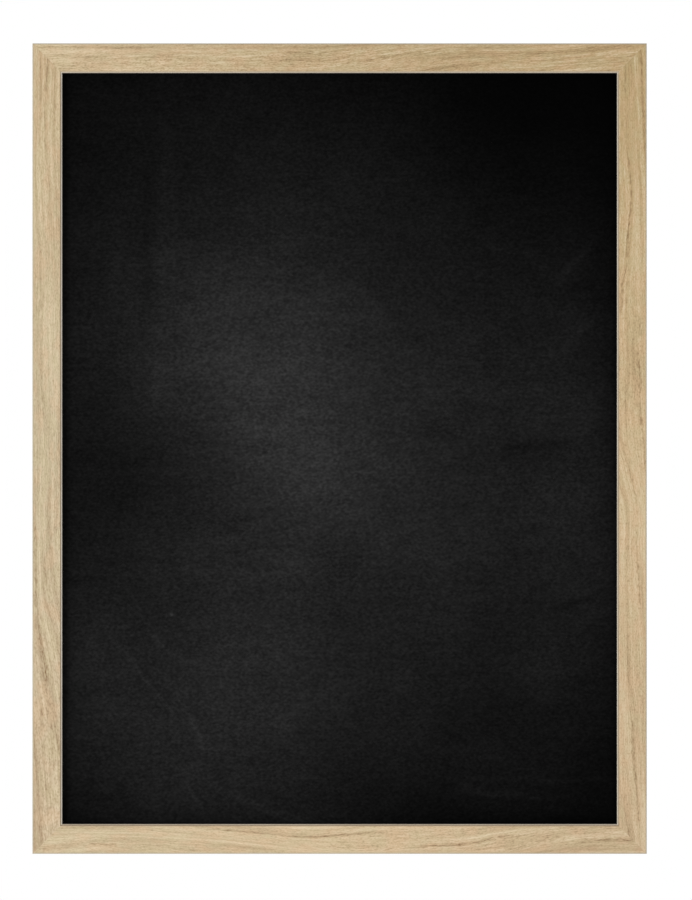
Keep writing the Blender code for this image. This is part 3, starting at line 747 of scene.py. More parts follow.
# Thin strokes of the cloth, each from one point to another in the same millimetres, then how far it bows
# out, its half width, and its light as above
STROKES = (
    ((48, 178), (50, 210), 0, 6, 2.3),
    ((102, 80), (100, 340), 0, 9, 2.0),
    ((84, 110), (85, 300), 0, 7, -1.8),
    ((85, 559), (105, 573), 0, 3, 5.2),
    ((56, 575), (105, 633), 3, 2.2, 5.2),
    ((121, 635), (138, 667), -1, 3.5, 5.5),
    ((126, 706), (136, 732), 2, 2.3, 4.6),
    ((134, 702), (244, 741), 7, 4.5, 3.2),
    ((400, 712), (472, 724), 1, 3.5, 2.1),
    ((420, 703), (552, 709), 0, 2.5, 1.5),
    ((498, 273), (526, 243), 0, 4, 3.0),
    ((495, 209), (523, 173), 0, 5, 2.3),
    ((466, 415), (482, 415), 0, 6, 2.3),
    ((113, 540), (115.5, 540), 0, 1.4, 30.0),
    ((414, 162), (472, 191), 2, 3, 1.6),
    ((180, 386), (228, 386), 0, 6, 2.3),
    ((297, 382), (322, 382), 0, 4, 2.7),
    ((282, 408), (287, 439), 1, 1.6, 3.0),
    ((426, 381), (495, 371), 0, 7, -2.7),
    ((484, 541), (530, 520), 0, 4, -2.7),
    ((168, 373), (226, 373), 0, 3, -3.0),
    ((130, 461), (218, 428), 3, 4, -1.9),
    ((336, 349), (388, 364), 0, 7, -1.5),
    ((475, 545), (491, 536), 0, 1.6, 2.4),
)


def closed_rings(rows, columns):
    """The faces of a stack of closed rings: four-sided between the rings, and one over each end."""
    faces = quads(rows, columns, close_columns=True).tolist()
    return faces + [list(range(columns)), list(range((rows - 1) * columns, rows * columns))]


def node_box(node):
    """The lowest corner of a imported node, its middle and its highest corner, as arrays."""
    low, high = [np.array(corner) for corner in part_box(node)]
    return low, (low + high) / 2, high


def plate(name, node, eased, finish):
    """A flat plate with rounded corners and eased edges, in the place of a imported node.

    Its outline is a rectangle with quarter circles at its corners. It is carried through the plate's
    thickness, drawn in by eased (1 - cos) where the edge turns over at the front and at the back.
    """
    turn = np.radians(np.linspace(0, 90, 7) + 90 * np.arange(4)[:, None])
    signs = np.array([(1, 1), (-1, 1), (-1, -1), (1, -1)])
    low, middle, high = node_box(node)
    half = (high - low) / 2 - BOARD_CORNER
    x = (middle[0] + signs[:, :1] * half[0] + BOARD_CORNER * np.cos(turn)).ravel()
    z = (middle[2] + signs[:, 1:] * half[2] + BOARD_CORNER * np.sin(turn)).ravel()
    roll = np.radians(np.linspace(0, 90, 4))
    inset = eased * np.concatenate([1 - np.sin(roll), 1 - np.cos(roll)])
    y = np.concatenate([low[1] + eased * (1 - np.cos(roll)), high[1] - eased * (1 - np.sin(roll))])
    shrink_x = 1 - inset[:, None] / ((high - low)[0] / 2)
    shrink_z = 1 - inset[:, None] / ((high - low)[2] / 2)
    x = middle[0] + (x - middle[0]) * shrink_x
    z = middle[2] + (z - middle[2]) * shrink_z
    points = np.stack(np.broadcast_arrays(x, y[:, None], z), axis=-1)
    return make(name, points, closed_rings(*points.shape[:2]), [finish])


def soft_oval(spot, middle, length, width, tilt, bow=0.0):
    """1 in the middle of an oval, falling off as a bell does to its half length and its half width.

    The long axis bends away from its straight run by bow, as 1 - a a, where a runs from -1 to 1 along it.
    """
    c, s = math.cos(tilt), math.sin(tilt)
    a = spot.dot(c / length, s / length, -(middle[0] * c + middle[1] * s) / length)
    b = spot.dot(-s / width, c / width, -(middle[1] * c - middle[0] * s) / width)
    if bow:
        b = b - (1 - a * a) * (bow / width)
    return (a * a + b * b).bell()


def turned_noise(start, right, down, size, seed, detail):
    """Smooth random values about 0, as wide and as high as size, on a lattice turned to hide its rows."""
    a, b = right / size[0], down / size[1]
    c, s = math.cos(NOISE_TURN), math.sin(NOISE_TURN)
    return start.noise(a * c - b * s, a * s + b * c, seed, detail) - 0.5


def chalk_finish():
    """Matt black coat, with a haze of wiped chalk and painted sheen of the main lamp, in uneven streaks,
    clouds and single grains of dust.

    The haze is the sum of the ovals and strokes, times a power of what the three noises add up to.
    """
    finish, start = new_finish("chalkboard_coat", Specular_IOR_Level=0.006)
    x, _, z = start.place()
    right, down = x - SIGHT_LEFT, SIGHT_TOP - z
    drift_right, drift_down = [
        (start.noise(right / DRIFT_REACH, down / DRIFT_REACH, seed, 2.0) - 0.5) * DRIFT for seed in (2.4, 6.6)
    ]
    spot = start.vector(right + drift_right, down + drift_down, 1.0)
    haze = 0.0
    # Each oval adds chalk dust together with painted sheen, or takes some away.
    for middle_x, middle_y, length, width, tilt, strength in DUST_AND_SHEEN_OVALS:
        dust_and_sheen_oval = soft_oval(spot, (middle_x, middle_y), length, width, math.radians(tilt))
        haze = dust_and_sheen_oval * (strength / 1000) + haze
    for first, last, bow, width, strength in STROKES:
        middle, run = (np.array(first) + last) / 2, np.array(last) - first
        stroke = soft_oval(spot, middle, 0.6 * math.hypot(*run), width, math.atan2(run[1], run[0]), bow)
        haze = stroke * (strength / 1000) + haze
    streaks = turned_noise(start, right, down, CLOTH_STREAK, 4.4, 3.0)
    clouds = turned_noise(start, right, down, CHALK_CLOUD, 9.6, 3.0)
    dust = turned_noise(start, right, down, DUST_GRAIN, 14.5, 0.7)
    haze = haze * start.math("POWER", 1 + 0.18 * streaks + 0.25 * clouds + 0.61 * dust, 2.4)
    light = start.math("MAXIMUM", haze, 0.0) + COAT_BLACK
    grey = start.vector(light, light, light)
    return finished(finish, grey, 0.72 + 0.3 * dust + 4.0 * light, dust + streaks * 0.2, COAT_GRAIN_DEPTH)


sheet = plate("black_writing_sheet", "writing_sheet", SHEET_EASED, chalk_finish())
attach(sheet, "chalkboard")
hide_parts("writing_sheet")


# Fibre board
# The board's stiff middle, 5 mm of pressed wood fibre. Only its sawn edges show, in the gap behind the
# frame.

FIBRE_EASED = 0.0002
FIBRE_COLOURS = ((128, 100, 70), (164, 136, 100))
FIBRE_LAYER_COLOUR = (112, 86, 60)
FIBRE_DEPTH = 0.0001


def fibre_finish():
    """Pressed fibre: short coarse fibres, in layers that are darker and paler through the thickness."""
    finish, start = new_finish("pressed_fibre", Specular_IOR_Level=0.2)
    x, y, z = start.place()
    fibres = start.noise(x / 0.6, y / 0.3, z / 0.6, 3.0)
    layers = start.noise(x / 30, y / 0.8, z / 30, 1.0)
    colour = fibres.step(0.3, 0.7).mix(*FIBRE_COLOURS)
    colour = (layers.step(0.4, 0.7) * 0.3).mix(colour, FIBRE_LAYER_COLOUR)
    return finished(finish, colour, 0.8 + 0.15 * fibres, fibres, FIBRE_DEPTH)


fibre = plate("pressed_fibre_core", "board_core", FIBRE_EASED, fibre_finish())
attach(fibre, "chalkboard")
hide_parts("board_core")


# Balance sheet
# Brown kraft paper, soaked in resin and pressed onto the back so that the board stays flat.

PAPER_EASED = 0.00006
KRAFT_COLOURS = ((154, 123, 88), (161, 130, 94))
PALE_FLEECE = (178, 148, 111)
PALE_THREAD = (188, 159, 122)
PALE_SCUFF = (196, 170, 134)
DARK_THREAD = (128, 98, 68)
DARK_LINE = (134, 105, 74)
KRAFT_DEPTH = 0.00003


def kraft_finish():
    """Kraft paper: pale and dark fibres lying every way, slow clouds and lines, and light scuffs."""
    finish, start = new_finish("kraft_paper", Specular_IOR_Level=0.3)
    x, y, z = start.place()
    clouds = start.noise(x / 60, z / 90, 3.0, 2.0)
    fleece = start.noise(x / 2.2, z / 5, 5.0, 4.0)
    threads = start.noise(x / 0.5, z / 4.5, 6.0, 2.0)
    crossing = start.noise(x / 4.0, z / 0.5, 11.0, 2.0)
    lines = start.noise(x / 4, z / 500, 17.0, 3.0)
    scuffs = start.noise((x + z) / 1.5, (x - z) / 70, 21.0, 2.0).step(0.68, 0.8)
    colour = clouds.step(0.25, 0.75).mix(*KRAFT_COLOURS)
    colour = (fleece.step(0.35, 0.7) * 0.22).mix(colour, PALE_FLEECE)
    colour = (threads.step(0.5, 0.75) * 0.4).mix(colour, PALE_THREAD)
    colour = (crossing.step(0.52, 0.75) * 0.35).mix(colour, DARK_THREAD)
    colour = (lines.step(0.45, 0.8) * 0.2).mix(colour, DARK_LINE)
    colour = (scuffs * 0.3).mix(colour, PALE_SCUFF)
    rise = threads * 0.6 - crossing * 0.4
    return finished(finish, colour, 0.62 + 0.25 * clouds + 0.1 * scuffs, rise, KRAFT_DEPTH)


paper = plate("brown_balance_sheet", "balance_sheet", PAPER_EASED, kraft_finish())
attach(paper, "chalkboard")
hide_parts("balance_sheet")


# Board points
# Flat points of spring steel, shot into the wall of the rebate and lying over the board's back to hold it
# in. Each is stamped with a stiffening rib along its middle and a rounded free end.

POINT_HALF_WIDTH = 0.003
POINT_THICKNESS = 0.0005
POINT_SHOULDER = -0.0035
POINT_SHARP_END = -0.006
POINT_FREE_END = 0.009
POINT_LEAST_WIDTH = 0.00002
RIB_HEIGHT = 0.00035
RIB_HALF_WIDTH = 0.0007
RIB_START = 0.001
RIB_END = 0.0075
RIB_FADE = 0.0015
SPRING_STEEL_COLOURS = ((126, 129, 135), (147, 147, 146))
STEEL_GRAIN_DEPTH = 0.00001
POINT_COUNTS = {"left_stile": 4, "top_rail": 3, "right_stile": 4, "bottom_rail": 3}


def point_shape():
    """The point's section at each station along it, out over its upper surface and back under it.

    The result is three grids: along the point, across it, and height. Its half width grows in a straight line
    from the sharp end to the shoulders, and falls off as a half circle at the free end. The rib is a bell
    across the point, faded out at both its ends. The strip thins by a quarter at its edges, as 1 - b^8 / 4
    with b from -1 to 1 across it.
    """
    tip = np.linspace(POINT_SHARP_END, POINT_SHOULDER, 5)
    shank = np.linspace(POINT_SHOULDER, POINT_FREE_END - POINT_HALF_WIDTH, 12)[1:]
    turn = np.radians(np.linspace(0, 90, 10))[1:]
    a = np.concatenate([tip, shank, POINT_FREE_END - POINT_HALF_WIDTH + POINT_HALF_WIDTH * np.sin(turn)])
    growing = (tip - POINT_SHARP_END) / (POINT_SHOULDER - POINT_SHARP_END)
    wide = np.concatenate([growing, np.ones(len(shank)), np.cos(turn)]) * POINT_HALF_WIDTH
    wide[[0, -1]] = POINT_LEAST_WIDTH
    b = np.linspace(-1, 1, 13)
    across = wide[:, None] * b
    along = a[:, None] + 0 * across
    fade = np.clip((along - RIB_START) / RIB_FADE, 0, 1) * np.clip((RIB_END - along) / RIB_FADE, 0, 1)
    rib = RIB_HEIGHT * np.exp(-((across / RIB_HALF_WIDTH) ** 2)) * fade
    half = POINT_THICKNESS / 2 * (1 - 0.25 * np.abs(b) ** 8)
    sides = ((along, along), (across, across), (rib + half, rib * 0.9 - half))
    return [np.concatenate([over, under[:, ::-1]], axis=1) for over, under in sides]


def spring_steel_finish():
    """Blued spring steel: dull blue grey with paler patches, and fine drawn lines."""
    finish, start = new_finish("spring_steel", Metallic=1.0)
    x, y, z = start.place()
    mottle = start.noise(x / 1.5, y / 1.5, z / 1.5, 3.0)
    drawn = start.noise(x / 0.2, y / 0.2, z / 0.2, 1.0)
    colour = mottle.step(0.35, 0.7).mix(*SPRING_STEEL_COLOURS)
    return finished(finish, colour, 0.34 + 0.2 * mottle + 0.08 * drawn, drawn, STEEL_GRAIN_DEPTH)


spring_steel = spring_steel_finish()
along, across, height = point_shape()
along -= (POINT_FREE_END + POINT_SHARP_END) / 2
point_faces = np.concatenate(thin_faces(*along.shape))
for side, count in POINT_COUNTS.items():
    inwards, run = SIDES[side]["inwards"], SIDES[side]["along"]
    for i in range(count):
        node = f"board_point_{side}_{i + 1}"
        _, middle, _ = node_box(node)
        x = middle[0] + inwards[0] * along + run[0] * across
        z = middle[2] + inwards[1] * along + run[1] * across
        points = np.stack([x, middle[1] + height, z], axis=-1)
        point = make(f"fixing_point_{side}_{i + 1}", points, point_faces, [spring_steel])
        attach(point, "chalkboard")
        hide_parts(node)


# Corner nails
# V-shaped nails of thin steel, pressed across each glued mitre from the back with their points towards the
# board. The bend is rounded, the edge that goes in first is ground sharp, and the one that shows is flat.

NAIL_PLACES = {"outer": 0.013, "inner": 0.024}
NAIL_LEG = 0.005
NAIL_HALF_ANGLE = math.radians(50)
NAIL_THICKNESS = 0.0005
NAIL_BEND = 0.0007
NAIL_STEEL_COLOURS = ((168, 169, 170), (128, 112, 96))

# How high the ground and the pressed edge are, and the thickness at the four heights, as a share of the whole
NAIL_GROUND = 0.0004
NAIL_PRESSED = 0.0001
NAIL_PINCH = (0.35, 1.0, 1.0, 0.92)
CORNERS = {"top_left": (-1, 1), "top_right": (1, 1), "bottom_left": (-1, -1), "bottom_right": (1, -1)}


def nail_levels():
    """The nail's outline at its four heights, as forward and sideways: out along one face, back on the other.

    Its middle line is a straight leg, a round bend and a straight leg. Each face lies half the thickness off
    that line, times the pinch at the height.
    """
    sweep = math.pi / 2 - NAIL_HALF_ANGLE
    turn = np.linspace(sweep, -sweep, 9)
    centre = -NAIL_BEND / math.sin(NAIL_HALF_ANGLE)
    bend = np.stack([centre + NAIL_BEND * np.cos(turn), NAIL_BEND * np.sin(turn)], axis=-1)
    end = np.array([-math.cos(NAIL_HALF_ANGLE), math.sin(NAIL_HALF_ANGLE)]) * NAIL_LEG
    leg = end + (bend[0] - end) * np.linspace(0, 1, 5)[:-1, None]
    line = np.concatenate([leg, bend, leg[::-1] * (1, -1)])
    heading = np.gradient(line, axis=0)
    heading /= np.linalg.norm(heading, axis=1, keepdims=True)
    off = np.stack([-heading[:, 1], heading[:, 0]], axis=-1) * NAIL_THICKNESS / 2
    pinch = np.array(NAIL_PINCH)[:, None, None]
    return np.concatenate([line + off * pinch, (line - off * pinch)[:, ::-1]], axis=1)


def nail_steel_finish():
    """Bare strip steel, finely scratched, with a breath of brown rust."""
    finish, start = new_finish("nail_steel", Metallic=1.0)
    x, y, z = start.place()
    stain = start.noise(x / 1.2, y / 1.2, z / 1.2, 3.0)
    scratch = start.noise(x / 0.15, y / 2.5, z / 0.15)
    colour = stain.step(0.5, 0.75).mix(*NAIL_STEEL_COLOURS)
    return finished(finish, colour, 0.35 + 0.25 * stain + 0.1 * scratch, scratch, STEEL_GRAIN_DEPTH)


nail_steel = nail_steel_finish()
levels = nail_levels()
nail_faces = np.concatenate(thin_faces(*levels.shape[:2]))
for corner, (across, up) in CORNERS.items():
    forward = np.array([-across, -up]) / math.sqrt(2)
    left_of = np.array([-forward[1], forward[0]])
    tip = np.array([across * WIDTH / 2, MIDDLE_Z + up * HEIGHT / 2])
    for which, distance in NAIL_PLACES.items():
        node = f"corner_nail_{corner}_{which}"
        low, _, high = node_box(node)
        heights = np.array([low[1], low[1] + NAIL_GROUND, high[1] - NAIL_PRESSED, high[1]])
        flat = tip + (distance + levels[..., :1]) * forward + levels[..., 1:] * left_of
        points = np.stack(np.broadcast_arrays(flat[..., 0], heights[:, None], flat[..., 1]), axis=-1)
        nail = make(f"mitre_nail_{corner}_{which}", points, nail_faces, [nail_steel])
        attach(nail, "chalkboard")
        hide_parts(node)


# Hanger straps
# Zinc-plated steel strip, folded round the straight leg of each ring and back on itself, with its free end
# rounded. Two holes are punched through both leaves for the screws.

RING_AXIS_Y = -0.0026
RING_AXIS_Z = -0.010954
HANGER_X = 0.295
HANDS = {"left": -1, "right": 1}
STRAP_LENGTH = 0.036
STRAP_HALF_WIDTH = 0.0045
STRAP_THICKNESS = 0.0008
STRAP_CORNER = 0.003
STRAP_EASED = 0.0001
KNUCKLE = 0.0017
PINCH = 0.0008
STRAP_HOLES = (0.018, 0.030)
STRAP_HOLE_RADIUS = 0.0018
HOLE_STEPS = 48
ZINC_COLOURS = ((182, 185, 190), (205, 206, 206))
ZINC_CRYSTAL_COLOUR = (160, 165, 174)
ZINC_RUBBED_COLOUR = (150, 142, 128)


def hole_patch(centre, near, far, rounded):
    """The flat strap round one hole, as rings of points between the hole and the strap's own outline.

    Along each of the directions from the hole's middle, points are spread evenly from the hole's radius to
    where the direction meets the outline: the straight edges, or the round corners of the free end.
    """
    angle = np.linspace(0, 2 * math.pi, HOLE_STEPS, endpoint=False)
    dx, dw = np.cos(angle), np.sin(angle)
    along = np.where(dx > 0, far, near) / np.maximum(np.abs(dx), 1e-9)
    side = STRAP_HALF_WIDTH / np.maximum(np.abs(dw), 1e-9)
    reach = np.minimum(along, side)
    if rounded:
        corner = np.array([far - STRAP_CORNER, STRAP_HALF_WIDTH - STRAP_CORNER])
        inner = dx * corner[0] + np.abs(dw) * corner[1]
        arc = inner + np.sqrt(np.maximum(inner ** 2 - (corner ** 2).sum() + STRAP_CORNER ** 2, 0))
        in_corner = (reach * dx > corner[0]) & (reach * np.abs(dw) > corner[1])
        reach = np.where(in_corner, arc, reach)
    share = np.linspace(0, 1, 5)[:, None]
    radius = STRAP_HOLE_RADIUS + (reach - STRAP_HOLE_RADIUS) * share
    return np.stack([centre + radius * dx, radius * dw], axis=-1)


def strap_sheet():
    """The middle surface of the folded strap, as (down from the ring's axis, out from the stile, across).

    Both leaves are hole patches joined by short rectangles. The fold is a grid that follows three quarters
    of a circle round the ring and a quarter of a smaller one, back onto the first leaf.
    """
    width = STRAP_HALF_WIDTH * np.tan(np.linspace(-math.pi / 4, math.pi / 4, HOLE_STEPS // 4 + 1))
    low = STRAP_THICKNESS / 2
    high = low + KNUCKLE - PINCH
    upper, lower = STRAP_HOLES
    square = STRAP_HALF_WIDTH
    patches = [
        hole_patch(upper, square, square, rounded=False),
        hole_patch(lower, square, STRAP_LENGTH - lower, rounded=True),
    ]
    between = np.array([upper + square, lower - square])
    turn = np.radians(np.linspace(-90, -360, 37))
    pinch_turn = np.radians(np.linspace(180, 270, 13))[1:]
    centre = low + KNUCKLE
    fold_down = np.concatenate([KNUCKLE * np.cos(turn), KNUCKLE + PINCH + PINCH * np.cos(pinch_turn)])
    fold_out = np.concatenate([centre + KNUCKLE * np.sin(turn), centre + PINCH * np.sin(pinch_turn)])
    grids = [(fold_down[:, None], fold_out[:, None], width, False)]
    for level, start in ((low, 0.0), (high, KNUCKLE + PINCH)):
        grids += [(patch[..., 0], level, patch[..., 1], True) for patch in patches]
        for stretch in (np.linspace(start, upper - square, 5), between):
            grids.append((stretch[:, None], level, width, False))
    points, faces, count = [], [], 0
    for down, out, across, closed in grids:
        grid = np.stack(np.broadcast_arrays(down, out, across), axis=-1)
        points.append(grid.reshape(-1, 3))
        faces.append(quads(*grid.shape[:2], close_columns=closed) + count)
        count += len(points[-1])
    return np.concatenate(points), np.concatenate(faces)


def zinc_finish(name, rubbed):
    """Bright zinc plating: bluish grey, with faint crystal patches, fine scratches and warmer worn places."""
    finish, start = new_finish(name, Metallic=1.0)
    x, y, z = start.place()
    crystals = start.node("TexVoronoi", None, {"Vector": start.vector(x, y, z), "Scale": 0.9}, "Color")
    patch = start.node("SeparateXYZ", None, {0: crystals})
    clouds = start.noise(x / 3, y / 3, z / 3, 3.0)
    scratches = start.noise((x + z) / 0.12, y / 0.12, (x - z) / 3.0).step(0.62, 0.72)
    colour = clouds.step(0.3, 0.7).mix(*ZINC_COLOURS)
    colour = (patch * 0.18).mix(colour, ZINC_CRYSTAL_COLOUR)
    colour = (clouds.step(0.62, 0.8) * rubbed).mix(colour, ZINC_RUBBED_COLOUR)
    roughness = 0.24 + 0.12 * patch + 0.16 * clouds + 0.15 * scratches
    return finished(finish, colour, roughness, clouds * 0.4 - scratches * 0.3, STEEL_GRAIN_DEPTH)


strap_zinc = zinc_finish("zinc_plate_strap", 0.5)
sheet_points, sheet_faces = strap_sheet()
for hand, across in HANDS.items():
    x = across * HANGER_X + sheet_points[:, 2]
    y = RING_AXIS_Y - KNUCKLE - STRAP_THICKNESS / 2 + sheet_points[:, 1]
    z = RING_AXIS_Z - sheet_points[:, 0]
    strap = make(f"{hand}_strap", np.stack([x, y, z], axis=-1), sheet_faces, [strap_zinc])
    thicken = strap.modifiers.new("strip", "SOLIDIFY")
    thicken.thickness = STRAP_THICKNESS
    thicken.offset = 0
    thicken.use_even_offset = True
    ease_edges(strap, STRAP_EASED)
    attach(strap, "chalkboard")
    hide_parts(f"{hand}_hanger_strap")


# Hanger rings
# D-rings bent from nickel-plated steel wire, 2 mm thick. The straight leg turns in the strap's fold.
# Each rests on the back of its stile and takes the wall hook inside its bow.

WIRE_RADIUS = 0.001
RING_HALF_WIDTH = 0.008
RING_REACH = 0.012
RING_CORNER = 0.0015
RING_CLEARANCE = 0.0003
RING_LIFT = RING_AXIS_Y - (FRONT + MOULDING_DEPTH) - RING_CLEARANCE - WIRE_RADIUS
RING_LEAN = math.asin(RING_LIFT / RING_REACH)
NICKEL_COLOURS = ((196, 192, 184), (212, 209, 203))
WIRE_GRAIN_DEPTH = 0.000008


def ring_line():
    """The wire's middle line as a loop: a straight leg, and a half circle between two tight quarter turns."""
    straight, shoulder = RING_HALF_WIDTH - RING_CORNER, RING_REACH - RING_HALF_WIDTH
    quarter = np.radians(np.linspace(0, 90, 13))
    half = np.radians(np.linspace(0, 180, 61))
    leg = np.linspace(-straight, straight, 15)[1:-1]
    right = np.stack([straight + RING_CORNER * np.sin(quarter), RING_CORNER * (1 - np.cos(quarter))], axis=-1)
    bow = np.stack([RING_HALF_WIDTH * np.cos(half), shoulder + RING_HALF_WIDTH * np.sin(half)], axis=-1)
    left = np.stack([-straight - RING_CORNER * np.cos(quarter), RING_CORNER * (1 - np.sin(quarter))], axis=-1)
    return np.concatenate([np.stack([leg, 0 * leg], axis=-1), right, bow, left])


def wire_finish():
    """Nickel plate with a warm cast: slow clouds of colour and gloss, and the fine grain of drawn wire."""
    finish, start = new_finish("nickel_wire", Metallic=1.0)
    x, y, z = start.place()
    clouds = start.noise(x / 2, y / 2, z / 2, 3.0)
    drawn = start.noise(x / 0.25, y / 0.25, z / 0.25, 2.0)
    colour = clouds.step(0.35, 0.7).mix(*NICKEL_COLOURS)
    return finished(finish, colour, 0.16 + 0.16 * clouds + 0.1 * drawn, drawn, WIRE_GRAIN_DEPTH)


nickel = wire_finish()
line = ring_line()
heading = np.roll(line, -1, axis=0) - np.roll(line, 1, axis=0)
heading /= np.linalg.norm(heading, axis=1, keepdims=True)
normal = np.stack([heading[:, 1], -heading[:, 0]], axis=-1)
around = np.linspace(0, 2 * math.pi, 24, endpoint=False)
out, lift = WIRE_RADIUS * np.cos(around), WIRE_RADIUS * np.sin(around)
tube_x = line[:, :1] + normal[:, :1] * out
tube_z = line[:, 1:] + normal[:, 1:] * out
tube_y = 0 * tube_x + lift
lean_y = tube_y * math.cos(RING_LEAN) - tube_z * math.sin(RING_LEAN)
lean_z = tube_y * math.sin(RING_LEAN) + tube_z * math.cos(RING_LEAN)
for hand, across in HANDS.items():
    points = np.stack([across * HANGER_X + tube_x, RING_AXIS_Y + lean_y, RING_AXIS_Z + lean_z], axis=-1)
    ring = make(f"{hand}_d_ring", points, quads(*tube_x.shape, close_rows=True, close_columns=True), [nickel])
    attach(ring, f"{hand}_ring")
    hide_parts(f"{hand}_hanger_ring")


# Hanger screws
# Zinc-plated wood screws with a domed pan head and a cross recess, two through each strap into the stile.
# The thread is rolled onto the shank and runs out in a sharp tip.

HEAD_RADIUS = 0.003
HEAD_RIM = 0.0006
HEAD_HEIGHT = 0.0018
RECESS_HALF_LENGTH = 0.0017
RECESS_HALF_WIDTH = 0.00042
RECESS_DEPTH = 0.0012
RECESS_WALL = 0.00012
RECESS_END = 0.0009
RECESS_MIDDLE_RADIUS = 0.0010
RECESS_MIDDLE_WALL = 0.0004
SHANK_LENGTH = 0.014
SHANK_RADIUS = 0.0014
ROOT_RADIUS = 0.00095
THREAD_PITCH = 0.0013
THREAD_FADE = 0.003
TIP_LENGTH = 0.003
SHANK_IN_HEAD = 0.0001

# The part of the head's half width that has the fine grid, and the thread's half width as a part of its pitch
FINE_SHARE = 0.6
THREAD_HALF_SHARE = 0.22

# Below the head's rim: the share of its radius, and the height, of each ring down to the flat underside
UNDER_HEAD = ((1.0, 0.0003), (0.995, 0.0001), (0.97, 0.0), (0.3, 0.0))
SCREW_TURNS = {"left_upper": 20, "left_lower": 65, "right_upper": -12, "right_lower": 38}


def screw_head():
    """The head as a square grid drawn out into a disc: x = a sqrt(1 - b b / 2), y = b sqrt(1 - a a / 2).

    Its height is the rim's plus a flat dome's, less the recess: a cross with sloping walls. Below the rim a
    rounded edge runs down to the flat underside.
    """
    coarse = np.linspace(FINE_SHARE, 1, 6)[1:]
    steps = np.concatenate([-coarse[::-1], np.linspace(-FINE_SHARE, FINE_SHARE, 61), coarse])
    a, b = np.meshgrid(steps, steps, indexing="ij")
    x, y = a * np.sqrt(1 - b * b / 2), b * np.sqrt(1 - a * a / 2)
    dome = np.sqrt(np.maximum(1 - (x * x + y * y) * 0.98, 0.02))
    near, far = np.minimum(abs(x), abs(y)) * HEAD_RADIUS, np.maximum(abs(x), abs(y)) * HEAD_RADIUS
    wall = np.clip((RECESS_HALF_WIDTH - near) / RECESS_WALL, 0, 1)
    end = np.clip((RECESS_HALF_LENGTH - far) / RECESS_END, 0, 1)
    centre = np.clip((RECESS_MIDDLE_RADIUS - np.hypot(x, y) * HEAD_RADIUS) / RECESS_MIDDLE_WALL, 0, 1)
    cut = RECESS_DEPTH * np.maximum(wall * end, centre * 0.8)
    top = HEAD_RIM + (HEAD_HEIGHT - HEAD_RIM) * dome - cut
    grid = np.stack([x * HEAD_RADIUS, y * HEAD_RADIUS, top], axis=-1)
    n = len(steps)
    index = np.arange(n * n).reshape(n, n)
    border = np.concatenate([index[0], index[1:, -1], index[-1, -2::-1], index[-2:0:-1, 0]])
    edge = grid.reshape(-1, 3)[border]
    rings = [edge]
    for shrink, height in UNDER_HEAD:
        rings.append(np.stack([edge[:, 0] * shrink, edge[:, 1] * shrink, height + 0 * edge[:, 0]], axis=-1))
    rings = np.stack(rings)
    faces = quads(n, n).tolist() + (quads(*rings.shape[:2], close_columns=True) + n * n).tolist()
    last = n * n + (len(rings) - 1) * len(border)
    faces.append(list(range(last, last + len(border))))
    return np.concatenate([grid.reshape(-1, 3), rings.reshape(-1, 3)]), faces


def screw_shank():
    """The shank as rings of points: its radius is the root's plus a ridge where a turn of the thread passes.

    The ridge is a triangle in the part of z / pitch - angle / 360 after the point. Both shrink in the tip.
    """
    z = np.linspace(SHANK_IN_HEAD, -SHANK_LENGTH, 141)[:, None]
    angle = np.linspace(0, 2 * math.pi, 24, endpoint=False)[None, :]
    phase = (z / THREAD_PITCH - angle / (2 * math.pi)) % 1
    ridge = np.clip(1 - np.abs(phase - 0.5) / THREAD_HALF_SHARE, 0, 1) * np.clip(-z / THREAD_FADE, 0, 1)
    taper = np.clip((z + SHANK_LENGTH) / TIP_LENGTH, 0.01, 1)
    radius = (ROOT_RADIUS + (SHANK_RADIUS - ROOT_RADIUS) * ridge) * taper
    points = np.stack(np.broadcast_arrays(radius * np.cos(angle), radius * np.sin(angle), z), axis=-1)
    return points.reshape(-1, 3), closed_rings(*points.shape[:2])


screw_zinc = zinc_finish("zinc_plate_screw", 0.3)
head_points, head_faces = screw_head()
shank_points, shank_faces = screw_shank()
screw_points = np.concatenate([head_points, shank_points])
screw_faces = head_faces + [[i + len(head_points) for i in face] for face in shank_faces]
for hand, across in HANDS.items():
    for which in ("upper", "lower"):
        node = f"{hand}_hanger_screw_{which}"
        _, middle, high = node_box(node)
        turn = math.radians(SCREW_TURNS[f"{hand}_{which}"])
        x = screw_points[:, 0] * math.cos(turn) - screw_points[:, 1] * math.sin(turn)
        z = screw_points[:, 0] * math.sin(turn) + screw_points[:, 1] * math.cos(turn)
        y = high[1] - HEAD_HEIGHT + screw_points[:, 2]
        points = np.stack([middle[0] + x, y, middle[2] + z], axis=-1)
        screw = make(f"{hand}_strap_screw_{which}", points, screw_faces, [screw_zinc])
        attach(screw, "chalkboard")
        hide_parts(node)


# Wall feet
# Round feet of black rubber, stuck to the lower corners of the back so that the board stands off the wall.
# Each is moulded with a rounded edge and a shallow dish in its end.

FOOT_RADIUS = 0.006
FOOT_HEIGHT = 0.0047
FOOT_TAPER = 0.0002
FOOT_EDGE = 0.0012
DISH_RADIUS = 0.0032
DISH_DEPTH = 0.0004
RUBBER_COLOURS = ((40, 39, 38), (78, 75, 71))
RUBBER_GRAIN_DEPTH = 0.00002

# Radius and height of the wall's lower end and of the base that is stuck down
FOOT_BASE = ((0.00595, 0.0009), (0.006, 0.0003), (0.0058, 0.0), (0.0001, 0.0))


